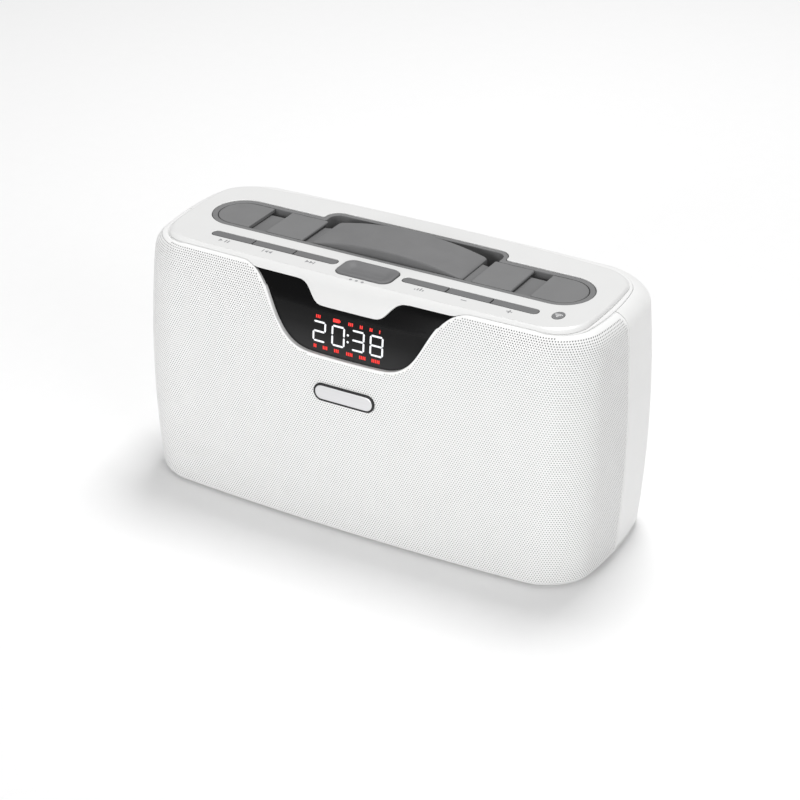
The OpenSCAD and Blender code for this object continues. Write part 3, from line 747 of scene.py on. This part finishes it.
def in_cells(p):
    """Whether each point lies in a kept cell."""
    out = np.zeros(len(p), bool)
    for k, (u, v) in enumerate(p):
        best, found = 1e9, None
        j0 = int(math.floor(v / row_h))
        for j in (j0, j0 + 1):
            off = 0.5 * (j % 2)
            i = round(u / PITCH - off) + off
            d = (u - i * PITCH) ** 2 + (v - j * row_h) ** 2
            if d < best:
                best, found = d, (j, int(round(i * 2)))
        out[k] = found in cell_set
    return out


outer = cells[:, None, :] + hexa[None] * R
inner = cells[:, None, :] + hexa[None] * HOLE
# edges of the kept cells that no other kept cell shares bound the solid border
ekey = {}
ok = np.round(outer * 1000).astype(np.int64)
for c in range(len(cells)):
    for k in range(6):
        a, b = tuple(ok[c, k]), tuple(ok[c, (k + 1) % 6])
        e = (min(a, b), max(a, b))
        ekey[e] = ekey.get(e, 0) + 1
rim_edges = [e for e, m in ekey.items() if m == 1]
pts = [tuple(p) for p in flat_loop]
edges = [(k, (k + 1) % len(pts)) for k in range(len(pts))]
index = {}
for e in rim_edges:
    ids = []
    for q in e:
        if q not in index:
            index[q] = len(pts)
            pts.append((q[0] / 1000, q[1] / 1000))
        ids.append(index[q])
    edges.append(tuple(ids))
got = delaunay_2d_cdt([Vector(p) for p in pts], edges, [], 0, TINY)
bv = np.array([tuple(p) for p in got[0]])
bf = np.array([list(t) for t in got[2]])
bc = bv[bf].mean(1)
good = inside(bc, [flat_loop])
good[good] = ~in_cells(bc[good])
bf, bc = bf[good], bc[good]
# two halves, which keeps each piece's mesh small enough to export as it is
right, faces = cells[:, 0] > TINY, bc[:, 0] > 0
for name, pick, mine in (("grille_right", right, faces), ("grille_left", ~right, ~faces)):
    g = Shape()
    po, _, _, no = frame_at("front", outer[pick].reshape(-1, 2))
    pi, _, _, ni = frame_at("front", inner[pick].reshape(-1, 2))
    a = g.add(po, no).reshape(-1, 6)
    b = g.add(pi - ni * SINK, ni).reshape(-1, 6)
    g.f.append(np.stack([a, np.roll(a, -1, 1), np.roll(b, -1, 1), b], 2).reshape(-1, 4))
    p, _, _, n = frame_at("front", bv)
    g.tris(p, n, bf[mine])
    if name == "grille_right":
        g.join(border)
    g.make(name, "grille_white", "front_grille")

# cloth behind the perforation
cloth = Shape()
inner_points = lattice(np.arange(lo[0], hi[0], 4.0), np.arange(lo[1], hi[1], 4.0), [flat_loop])
skin_patch(cloth, "front", [flat_loop], inner_points, CLOTH_D)
cloth.make("grille_cloth", "grille_cloth")

# ---- rear housing


def housing():
    s = Shape()
    z0 = BASE_TOP + 0.3
    side = [(float(np.interp(z, ROW_Z, SEAM_B)) - 0.15, skin_v(z, V_B)) for z in edge_levels(z0, 60, 3, 34)]
    # a half from the middle of the top edge down the seam to the middle of the bottom edge
    top = [(side[-1][0] * k / 130, skin_v(EDGE_Z, V_B)) for k in range(130)]
    low = [(side[0][0] * k / 110, skin_v(z0, V_B)) for k in range(109, -1, -1)]
    right = np.array(top + side[::-1] + low)
    left = (right * np.array([-1, 1]))[::-1]
    loop = ccw(dense(np.concatenate([right, left[1:-1]]), 2.5))
    # the port panel, the bass port and four screws, each with its depth
    holes = [(plate(-56, 56, 16, 40, 4), 2.4), (oval(0, 92, 11.2, 11.2, 56), 2.4)]
    holes += [(oval(x, z, 3.4, 3.4, 32), 6.0) for x in (-100, 100) for z in (14, 112)]
    flat_edge = skin_rings(s, "back", loop, 0.45, 2.0)
    loops = [flat_edge]
    for h, depth in holes:
        loops.append(skin_rings(s, "back", to_uv("back", ccw(dense(h, 2.5))), 0.4, depth, hole=True))
    rows = [skin_v(z, V_B) for z in (*np.arange(6, 123, 3.5), *shoulder_levels(np.arange(0, 76, 6.5)))]
    cols = np.arange(flat_edge[:, 0].min(), flat_edge[:, 0].max(), 2.4)
    skin_patch(s, "back", loops, lattice(cols, rows, loops))
    s.make("rear_shell", "cabinet_white", "rear_housing")


housing()


def base():
    s = Shape()
    rows = []
    for z in BASE_Z + FOOT_R * (1 - np.cos(np.radians(np.linspace(4, 90, 9)))):
        c = closed(section(z))
        # drawn in behind the grille at the front
        c = c - out_normals(c)[1] * (1.3 * smooth((-1 - c[:, 1]) / 6))[:, None]
        rows.append(at_z(c, z))
    s.grid(rows, closed=True)
    flat(s, [ccw(rows[0][:, :2])], rows[0][0, 2], -1)
    flat(s, [ccw(rows[-1][:, :2])], BASE_TOP)
    s.make("base_shell", "cabinet_white", "base_plate")


base()

# ---- top panel

KEY_Y, BIG_Y = -25.3, -27.4
PANEL_LOW, PANEL_FREE, PANEL_ROUND = 132.5, 134.0, 2  # lower edges over the window and grille; edge radius
KEY_HOLE_Z, EMBLEM_HOLE_Z = 132.6, 135.5
EMBLEM = (99.6, -23.7)


def recess_outline(right):
    """The handle recess from its right half, (x, y, radius) from front to rear."""
    return fillet(right + [(-x, y, r) for x, y, r in reversed(right)], 24)


RECESS = recess_outline([(105.6, -14.6, 16), (105.6, 17.6, 16), (51.3, 17.6, 1.6), (51.3, 26.3, 7)])
# name, left and right end, and whether each end is round
KEY_X = [("key_play", -90, -66.3, 1, 0), ("key_previous", -65.7, -42.6, 0, 0),
         ("key_next", -42, -18.4, 0, 1), ("key_sound", 18.4, 42, 1, 0),
         ("key_volume_down", 42.6, 65.7, 0, 0), ("key_volume_up", 66.3, 90, 0, 1)]


def cover_lower(x, y):
    """Height of the top panel's lower edge: low over the window, higher over the grille."""
    front = PANEL_LOW + 2.0 * smooth((np.abs(x) - 53.5) / 8)
    corner = smooth((np.abs(x) - 98) / 12)
    return np.where(y < 0, front * (1 - corner) + PANEL_FREE * corner, PANEL_FREE)


def cover():
    s = Shape()
    curve = np.sin(np.radians(np.linspace(0, 90, 12)))
    levels = np.concatenate([np.arange(PANEL_LOW, PANEL_FREE, 0.1), PANEL_FREE + PANEL_ROUND * curve])
    inset = [1.8 * (1 - circle(max(0, z - PANEL_FREE) / PANEL_ROUND)) for z in levels]

    def outline(extra):
        depth = [front_d(min(z, 135.85)) + 0.25 * (TOP_Z - z) / 3.5 - extra for z in levels]
        return np.array([closed(cover_half(i + extra, f)) for i, f in zip(inset, depth)])

    def at(rings, z):
        j = np.clip(np.interp(z, levels, np.arange(len(levels))), 0, len(levels) - LAST)
        k, t = j.astype(int), (j - j.astype(int))[:, None]
        c = np.arange(rings.shape[1])
        return np.column_stack([rings[k, c] * (1 - t) + rings[k + 1, c] * t, z])

    skin, lining = outline(0), outline(0.5)
    low = cover_lower(skin[12, :, 0], skin[12, :, 1])
    pts = [at(skin, low + (134.6 - low) * t) for t in np.linspace(0, 1, 7)]
    pts += [at_z(c, z) for c, z in zip(skin, levels) if z > 134.7]
    nrm = grid_normals(np.array(pts), True)
    nrm[-1] = (0, 0, 1)
    s.grid(pts, nrm, closed=True)
    y0, y1 = KEY_Y - 2.85, KEY_Y + 2.85
    holes = [RECESS, plate(-90.35, -18.05, y0, y1, 2.6), plate(18.05, 90.35, y0, y1, 2.6),
             plate(-15.25, 15.25, BIG_Y - 8.35, BIG_Y + 8.35, 5)]
    loops = [ccw(pts[-1][:, :2])]
    loops += [edge_rings(s, h, TOP_Z, KEY_HOLE_Z, 0.35, hole=True) for h in holes]
    loops.append(edge_rings(s, oval(*EMBLEM, 2.9, 4.1), TOP_Z, EMBLEM_HOLE_Z, 0.35, hole=True))
    flat(s, loops, TOP_Z)
    # underside of the edge, and a skirt inside it
    lip = np.array([at(skin, low), at(lining, low)])
    s.grid(lip, np.broadcast_to((0, 0, -1.0), lip.shape), closed=True)
    drop = np.where(lip[0, :, 1] < 0, smooth((np.abs(lip[0, :, 0]) - 57) / 3), 1.0)
    s.grid(np.array([at(lining, low), at(lining, low - 1.15 * drop)]), closed=True)
    # front tongue running down over the window
    root = np.stack([np.linspace(31, -31, 26)[1:-1], np.full(24, PANEL_LOW)], 1)
    loop = ccw(dense(np.concatenate([mirrored(TAB), root]), 1.2))
    nm, nu = out_normals(loop)
    free = (loop[:, 1] < PANEL_LOW - 0.05)[:, None]

    def tongue(q, d):
        x, z = q[:, 0], q[:, 1]
        p, tu, tv, n = frame_at("front", to_uv("front", np.stack([x, np.minimum(z, 133.2)], 1)))
        out = p + n * d[:, None]
        out[:, 1] -= 0.25 - 0.1 * smooth((PANEL_LOW - z) / 6)
        return out, n, tu, tv

    last = None
    r, back, turns = 0.5, -1.25, 4
    for k in range(turns + 2):
        t = DEG90 * min(k, turns) / turns
        q = loop - nm * r * (1 - math.sin(t)) * free
        d = np.where(free[:, 0], -r * (1 - math.cos(t)), 0.0) if k <= turns else np.full(len(q), back)
        p, n, tu, tv = tongue(q, d)
        rolled = n * math.cos(t) + (tu * nu[:, :1] + tv * nu[:, 1:]) * math.sin(t)
        ids = s.add(p, np.where(free, rolled, n))
        if last is not None:
            s.strip(last, ids)
        last = ids
    q = loop - nm * r * free
    v, f = fill([q], lattice(np.arange(-30, 30.1, 2.0), np.arange(123.5, 132.4, 0.8), [q]))
    p, n, _, _ = tongue(v, np.zeros(len(v)))
    s.tris(p, n, f)
    s.make("top_panel", "panel_white", "top_cover")


cover()


def ring():
    s = Shape()
    outer = closed(section(EDGE_Z))
    outer = outer - out_normals(outer)[1] * 0.12
    inner = closed(cover_half(0.9, 38.55))
    # share of the way inwards, and height
    prof = [(0, 129.0), (0, 133.2), (0.02, 133.45), (0.07, 133.64), (0.14, 133.74), (0.25, 133.78),
            (1, 133.78)]
    rows = np.array([at_z(outer * (1 - t) + inner * t, z) for t, z in prof])
    nrm = grid_normals(rows, True)
    ids = s.add(rows.reshape(-1, 3), nrm.reshape(-1, 3)).reshape(rows.shape[:2])
    # left out behind the window and the keys
    c = rows[0]
    show = ~((np.abs(c[:, 0]) < 99) & (c[:, 1] < -30))
    for a, b in zip(ids[:-1], ids[1:]):
        nxt = np.roll(np.arange(len(a)), -1)
        m = show & show[nxt]
        s.f.append(np.stack([a, a[nxt], b[nxt], b], 1)[m])
    s.make("trim_band", "cabinet_white", "trim_ring")


ring()

# ---- display


LENS_D, MARK_D = -2.2, -2.15
MARK_SHIFT = np.array([-0.3, -0.35])


def lens_loop(grow, top):
    """The window's outline, grown on all sides and cut off at the top."""
    w = WINDOW.copy()
    w[:, 0] += grow * np.minimum(1, w[:, 0] / 20)
    w[:, 1] -= grow * np.clip((112 - w[:, 1]) / 12, 0, 1)
    w = w[w[:, 1] < top]
    w = np.vstack([w, [w[-1, 0] + 0.4, top]])
    m = mirrored(w)
    top_side = np.stack([np.linspace(w[-1, 0], -w[-1, 0], 40)[1:-1], np.full(38, top)], 1)
    return ccw(dense(np.vstack([m, top_side]), 1.5))


def display():
    loop = to_uv("front", lens_loop(1.5, 132.9))
    lo, hi = loop.min(0), loop.max(0)
    s = Shape()
    inner = lattice(np.arange(lo[0], hi[0], 2.5), np.arange(lo[1], hi[1], 1.5), [loop])
    skin_patch(s, "front", [loop], inner, LENS_D)
    s.make("display_lens", "smoked_lens", "display_window")


display()


def marks_on_lens(name, polys, slot, node):
    s = Shape()
    for q in polys:
        q = ccw(dense(np.array(q, float) + MARK_SHIFT, 1.5))
        v, f = fill([q])
        p, _, _, n = frame_at("front", to_uv("front", v))
        s.tris(p + n * MARK_D, n, f)
    s.make(name, slot, node)


SEG_W, SEG_PITCH, SEG_GAP = 0.95, 1.1, 0.35
DIGIT_W, DIGIT_H, DIGIT_Z = 7.6, 11.2, 103.8


def seg(cx, cz, length, upright):
    """One stroke of a digit, pointed at both ends."""
    h, e = SEG_W / 2, length / 2
    q = np.array([(-e, 0), (h - e, h), (e - h, h), (e, 0), (e - h, -h), (h - e, -h)])
    if upright:
        q = q[:, ::-1] * np.array([-1, 1])
    return q + np.array([cx, cz])


def digit(cx, on):
    """The strokes of one digit, of the seven clockwise from the top and the middle one."""
    w, h, z0 = DIGIT_W - SEG_PITCH, (DIGIT_H - SEG_PITCH) / 2, DIGIT_Z + SEG_PITCH / 2
    places = [(0, 2 * h, 0), (w / 2, 1.5 * h, 1), (w / 2, 0.5 * h, 1), (0, 0, 0),
              (-w / 2, 0.5 * h, 1), (-w / 2, 1.5 * h, 1), (0, h, 0)]
    return [seg(cx + a, z0 + b, (h if up else w) - SEG_GAP, up)
            for (a, b, up), lit_up in zip(places, on) if lit_up == "1"]


def bar(x0, x1, y0, y1):
    return [(x0, y0), (x1, y0), (x1, y1), (x0, y1)]


lit_marks = digit(-15.6, "1101101") + digit(-5.0, "1111110")
lit_marks += digit(5.9, "1111001") + digit(16.2, "1111111")
lit_marks += [oval(0.4, z, 0.6, 0.6, 20) for z in (107.7, 111.3)]
marks_on_lens("clock_digits", lit_marks, "lit_white", "led_digits")
# a battery, and rows of short bars in groups of (x, count)
red = [bar(-8.2, -4.6, 116.3, 118.1), bar(-4.5, -4.05, 116.8, 117.6)]
rows = [(116.3, 118.0, ((-17.8, 3), (0.3, 3), (6.6, 2), (12, 2), (17.2, 1))),
        (100.6, 102.4, ((-18.6, 2), (-13.4, 3), (-7, 3), (-0.2, 4), (7, 4), (13.8, 5)))]
for z0, z1, groups in rows:
    red += [bar(x + 0.95 * k, x + 0.95 * k + 0.6, z0, z1) for x, n in groups for k in range(n)]
marks_on_lens("status_marks", red, "lit_red", "led_icons")

# ---- badge


def badge():
    def level(q, d):
        """Points at height d over the grille, and their normals."""
        p, _, _, n = frame_at("front", to_uv("front", q))
        return p + n * d, n

    outer = ccw(dense(plate(-17, 17, 74, 83.4, 4.6), 1.5))
    nm = out_normals(outer)[0]
    # inset and height over the skin
    rim = [(0, -0.1), (0, 0.55), (0.12, 0.72), (0.35, 0.78), (1.1, 0.78)]
    face = [(1.1, 0.6), (1.1, 0.78), (1.25, 0.88), (1.5, 0.9)]

    def raised(prof):
        s = Shape()
        rows = np.array([level(outer - nm * i, d)[0] for i, d in prof])
        n = grid_normals(rows, True)
        if n[-1, :, 1].mean() > 0:
            n = -n
        n[-1] = level(outer, 0)[1]
        s.grid(rows, n, closed=True)
        return s

    raised(rim).make("badge_rim", "badge_rim")
    s = raised(face)
    inset, height = face[-1]
    q = outer - nm * inset
    v, f = fill([q], lattice(np.arange(-16, 16.1, 2), np.arange(75, 83, 1.5), [q]))
    p, n = level(v, height)
    s.tris(p, n, f)
    s.make("badge_face", "badge_silver", "badge_plate")


badge()

# ---- handle recess


TRAY_Z, WELL_Z, TRAY_LOW = 135.7, 120.0, 118.0


def tray():
    s = Shape()
    rim = recess_outline([(105.3, -14.3, 15.7), (105.3, 17.3, 15.7), (51, 17.3, 1.9), (51, 26, 6.7)])
    well = recess_outline([(102.5, -11.5, 12.9), (102.5, 14.5, 12.9), (48.8, 14.5, 1.2), (48.8, 23.8, 5)])
    a = edge_rings(s, rim, TRAY_Z, TRAY_LOW, 0.45)
    b = edge_rings(s, well, TRAY_Z, WELL_Z, 0.45, hole=True)
    flat(s, [a, b], TRAY_Z)
    flat(s, [ccw(well)], WELL_Z)
    flat(s, [ccw(rim)], TRAY_LOW, -1)
    s.make("tray", "tray_grey", "recess_tray")


tray()

for side, sg in (("left", -1), ("right", 1)):
    # D-shaped end cap
    c = [(78.6, -11.2, 0.5), (102.2, -11.2, 12.5), (102.2, 14.2, 12.5), (78.6, 14.2, 0.5)]
    loop = fillet([(sg * x, y, r) for x, y, r in c], 20)
    cap = slab(loop, TRAY_Z, 133.9, 0.6, 6)
    cap.make("cap_" + side, "tray_grey", "end_cap_" + side)

    # bridge over the strap, rounded on its two long edges
    s = Shape()
    x0, x1, zc, r = 47.1, 68.6, 134.8, 0.9
    mid = np.array([(x0 + x1) / 2, zc])
    t = np.linspace(0, 2 * math.pi, 41)[:-1]
    prof = np.stack([np.where(np.cos(t) > 0, x1 - r, x0 + r) + r * np.cos(t), zc + r * np.sin(t)], 1)
    prof[np.abs(np.cos(t)) < TINY, 0] = mid[0]
    rows = []
    for y, inset in ((-11.2, 0.35), (-11.1, 0.12), (-10.85, 0.0), (13.85, 0.0), (14.1, 0.12), (14.2, 0.35)):
        p = prof + unit(mid - prof) * inset * np.array([0.3, 1.0])
        rows.append(np.column_stack([p[:, 0] * sg, np.full(len(p), y), p[:, 1]]))
    n = grid_normals(np.array(rows), True)
    n[2:4, :, 1] = 0
    s.grid(rows, n, closed=True)
    s.fan(rows[0], (0, -1.0, 0))
    s.fan(rows[-1], (0, 1.0, 0))
    s.make("bridge_" + side + "_shell", "tray_grey", "bridge_" + side)


GRIP_X, GRIP_Y, GRIP_END = 42, 3.0, 2.2  # half length, middle, and length of each rounded end


def grip():
    s = Shape()
    ends = GRIP_X - GRIP_END * (1 - np.cos(np.radians(np.linspace(0, 90, 8))))
    xs = np.concatenate([ends, np.linspace(39.6, 0, 26)[1:]])
    xs = np.concatenate([-xs, xs[-2::-1]])
    rows = []
    for x in xs:
        arch = 1 - (abs(x) / GRIP_X) ** 2.2
        top, low = 135.2 + 5.0 * arch, 130.8 + 2.7 * arch
        ease = 1 - circle(min(1, max(0.0, (abs(x) - 39.8) / GRIP_END)))
        hy = 13.9 - 1.2 * ease
        top, low = top - 0.5 * ease, low + 0.5 * ease * 0.5
        loop = fillet([(-hy, low, 0.8), (hy, low, 0.8), (hy, top, 1.2), (-hy, top, 1.0)], 7)
        rows.append(np.column_stack([np.full(len(loop), x), loop[:, 0] + GRIP_Y, loop[:, 1]]))
    s.grid(rows, closed=True)
    s.fan(rows[0], (-1, 0, 0))
    s.fan(rows[-1], (1, 0, 0))
    s.make("grip", "strap_rubber", "handle_grip", body="handle")


grip()


STRAP_Z, STRAP_Y, STRAP_W, STRAP_T = 132.4, 1.5, 20.0, 2.0


def strap(points, end_round=0.0):
    """A flat band with rounded edges along points (x, z), across y about the recess middle."""
    s = Shape()
    p = np.array(points, float)
    t = unit(np.gradient(p, axis=0))
    up = np.stack([-t[:, 1], t[:, 0]], 1)
    if up[:, 1].mean() < 0:
        up = -up
    rows = []
    total = np.concatenate([[0], np.cumsum(np.linalg.norm(np.diff(p, axis=0), axis=1))])
    h = STRAP_T / 2
    for k in range(len(p)):
        w = STRAP_W / 2
        left = total[-1] - total[k]
        if end_round and left < end_round:
            w -= end_round - math.sqrt(max(0, end_round**2 - (end_round - left) ** 2))
        loop = fillet([(-w, -h, 0.7), (w, -h, 0.7), (w, h, 0.85), (-w, h, 0.85)], 6)
        middle = p[k] + up[k] * loop[:, 1:]
        rows.append(np.column_stack([middle[:, 0], STRAP_Y + loop[:, 0], middle[:, 1]]))
    s.grid(rows, closed=True)
    s.fan(rows[0], (-t[0][0], 0, -t[0][1]))
    s.fan(rows[-1], (t[-1][0], 0, t[-1][1]))
    return s


for side, sg in (("left", -1), ("right", 1)):
    xs = np.linspace(42.05, 66.0, 49)
    zs = STRAP_Z + 0.6 * (1 - smooth((xs - 42.05) / 4.8))
    web = strap(np.stack([xs * sg, zs], 1))
    web = web.make("strap_bend_" + side, "strap_rubber", "strap_web_" + side, parent=False)
    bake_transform(web)
    xs = np.concatenate([np.linspace(66.05, 88.0, 40), np.linspace(88.3, 92, 14)])
    zs = STRAP_Z - 0.2 * smooth((xs - 72) / 12)
    end = strap(np.stack([xs * sg, zs], 1), end_round=3.0)
    end.make("strap_end_" + side, "strap_rubber", "strap_tail_" + side, body="strap_" + side)

# ---- keys

KEY_LOW = 131.5
for name, x0, x1, ra, rb in KEY_X:
    a, b = (2.3 if ra else 0.3), (2.3 if rb else 0.3)
    y0, y1 = KEY_Y - 2.5, KEY_Y + 2.5
    cap = slab(fillet([(x0, y0, a), (x1, y0, b), (x1, y1, b), (x0, y1, a)], 10), 136.05, KEY_LOW, 0.45, 6)
    cap.make(name + "_cap", "key_grey", name, body=name)


def function_key():
    s = Shape()
    # inset and height: wall, rounded rim and dish
    r, rim_z, dish_z = 0.55, 136.15, 136.69
    prof = [(0, KEY_LOW), (0, rim_z)]
    prof += [(r - r * math.cos(t), rim_z + r * math.sin(t)) for t in np.linspace(0, DEG90, 6)[1:]]
    prof += [(0.9 + 5.2 * k / 14, dish_z - 1.2 * float(smooth(k / 14))) for k in range(15)]
    rows = []
    for i, z in prof:
        loop = plate(-14.9 + i, 14.9 - i, BIG_Y - 8 + i, BIG_Y + 8 - i, max(4.7 - i * 0.45, 0.5))
        rows.append(at_z(loop, z))
    n = grid_normals(np.array(rows), True)
    if n[8:, :, 2].mean() < 0:
        n = -n
    n[0, :, 2] = 0
    n[-1] = (0, 0, 1)
    s.grid(rows, n, closed=True)
    s.fan(rows[-1], (0, 0, 1))
    s.make("key_function_cap", "key_grey", "key_function", body="key_function")


function_key()

# ---- printed marks and emblem


PRINT_Z, EMBLEM_Z = 136.02, 136.1


def print_marks(name, polys, z, finish):
    s = Shape()
    for q in polys:
        flat(s, [ccw(np.array(q, float))], z)
    s.make(name, finish)


def tri(cx, cy, r, flip=1):
    """An arrowhead that points right, or left with flip -1."""
    return [(cx - 0.6 * r * flip, cy - r), (cx + 0.8 * r * flip, cy), (cx - 0.6 * r * flip, cy + r)]


y, k = -31.4, 1.35
ink = [tri(-81.6, y, k), bar(-79, -78.3, y - k, y + k), bar(-77.5, -76.8, y - k, y + k)]
ink += [tri(-54.9, y, k, -1), tri(-52.7, y, k, -1), bar(-57.2, -56.6, y - k, y + k)]
ink += [tri(-31.6, y, k), tri(-29.4, y, k), bar(-28.1, -27.5, y - k, y + k)]
ink += [bar(x, x + 0.75, y - k, y + h) for x, h in ((28.1, -0.4), (29.5, 0.6), (30.9, k), (32.3, 0.1))]
ink += [bar(52.6, 55.7, y - 0.35, y + 0.35)]
ink += [bar(76.5, 79.6, y - 0.35, y + 0.35)]
ink += [bar(77.7, 78.4, y - 1.55, y - 0.35), bar(77.7, 78.4, y + 0.35, y + 1.55)]
ink += [oval(x, -38.2, 0.8, 0.8, 20) for x in (-3.2, 0, 3.2)]
print_marks("panel_print", ink, PRINT_Z, "print_grey")


def emblem():
    s = slab(oval(*EMBLEM, 2.8, 4.0), EMBLEM_Z, EMBLEM_HOLE_Z, 0.15, 4)
    s.make("emblem_plate", "emblem_grey", "wireless_emblem")
    foot, pen = (99.6, -25.3), 0.22
    t = np.radians(np.linspace(45, 135, 12))
    o = np.stack([np.cos(t), np.sin(t)], 1)
    arcs = [np.vstack([o * (r + pen), (o * (r - pen))[::-1]]) + np.array(foot) for r in (1.0, 1.9, 2.8)]
    arcs.append(oval(*foot, 0.42, 0.42, 18))
    print_marks("emblem_arcs", arcs, EMBLEM_Z + 0.03, "print_light")


emblem()

# ---- carried-over nodes: softened edges
for n in ("feet", "port_panel", "usb_socket", "card_socket", "aux_jack", "dc_jack", "power_slider",
          "bass_port", "case_screws"):
    ob = NODE[n]
    if ob.hide_render:
        continue
    w = ob.modifiers.new("weld", "WELD")
    w.merge_threshold = 0.00001
    b = ob.modifiers.new("edge", "BEVEL")
    b.width = 0.00025
    b.segments = 2
    b.limit_method = "ANGLE"
    b.angle_limit = math.radians(50)
    b.harden_normals = True

# ---- stage

floor_mat = material("floor_pale", (0.95, 0.95, 0.95), 0.7, bump=0.05, scale=400, tint=0.004)
me = bpy.data.meshes.new("floor")
me.from_pydata([(-4, -4, 0), (4, -4, 0), (4, 4, 0), (-4, 4, 0)], [], [(0, 1, 2, 3)])
me.materials.append(floor_mat)
floor = bpy.data.objects.new("floor", me)
bpy.context.scene.collection.objects.link(floor)

world = bpy.data.worlds.new("studio")
bpy.context.scene.world = world
world.use_nodes = True
sky = world.node_tree.nodes["Background"].inputs
sky["Color"].default_value, sky["Strength"].default_value = (1, 1, 1, 1), 0.42
AIM = Vector((0, 0, 0.07))


def softbox(name, where, size, power):
    d = bpy.data.lights.new(name, "AREA")
    d.shape, d.size, d.size_y, d.energy = "RECTANGLE", size, size, power
    ob = bpy.data.objects.new(name, d)
    bpy.context.scene.collection.objects.link(ob)
    ob.location = where
    ob.rotation_mode = "QUATERNION"
    ob.rotation_quaternion = (AIM - Vector(where)).to_track_quat("-Z", "Y")


softbox("overhead", (-0.05, 0.5, 1.65), 0.6, 17)
softbox("front", (-0.35, -2.3, 0.45), 1.0, 22)
softbox("side", (1.6, -0.8, 0.8), 1.0, 7.5)

cam_data = bpy.data.cameras.new("camera")
cam_data.lens, cam_data.sensor_width = 99, 36
cam_data.clip_start, cam_data.clip_end = 0.05, 50
cam = bpy.data.objects.new("camera", cam_data)
bpy.context.scene.collection.objects.link(cam)
right = Vector((0.871111, 0.491086, 0))
up = Vector((-0.239259, 0.424408, 0.873289))
ahead = Vector((-0.428860, 0.760732, -0.487203))
view = Matrix((right, up, -ahead)).transposed().to_4x4()
view.translation = Vector((0.48050, -0.84823, 0.59642))
cam.matrix_world = view
bpy.context.scene.camera = cam
bpy.context.scene.view_settings.view_transform = "Standard"
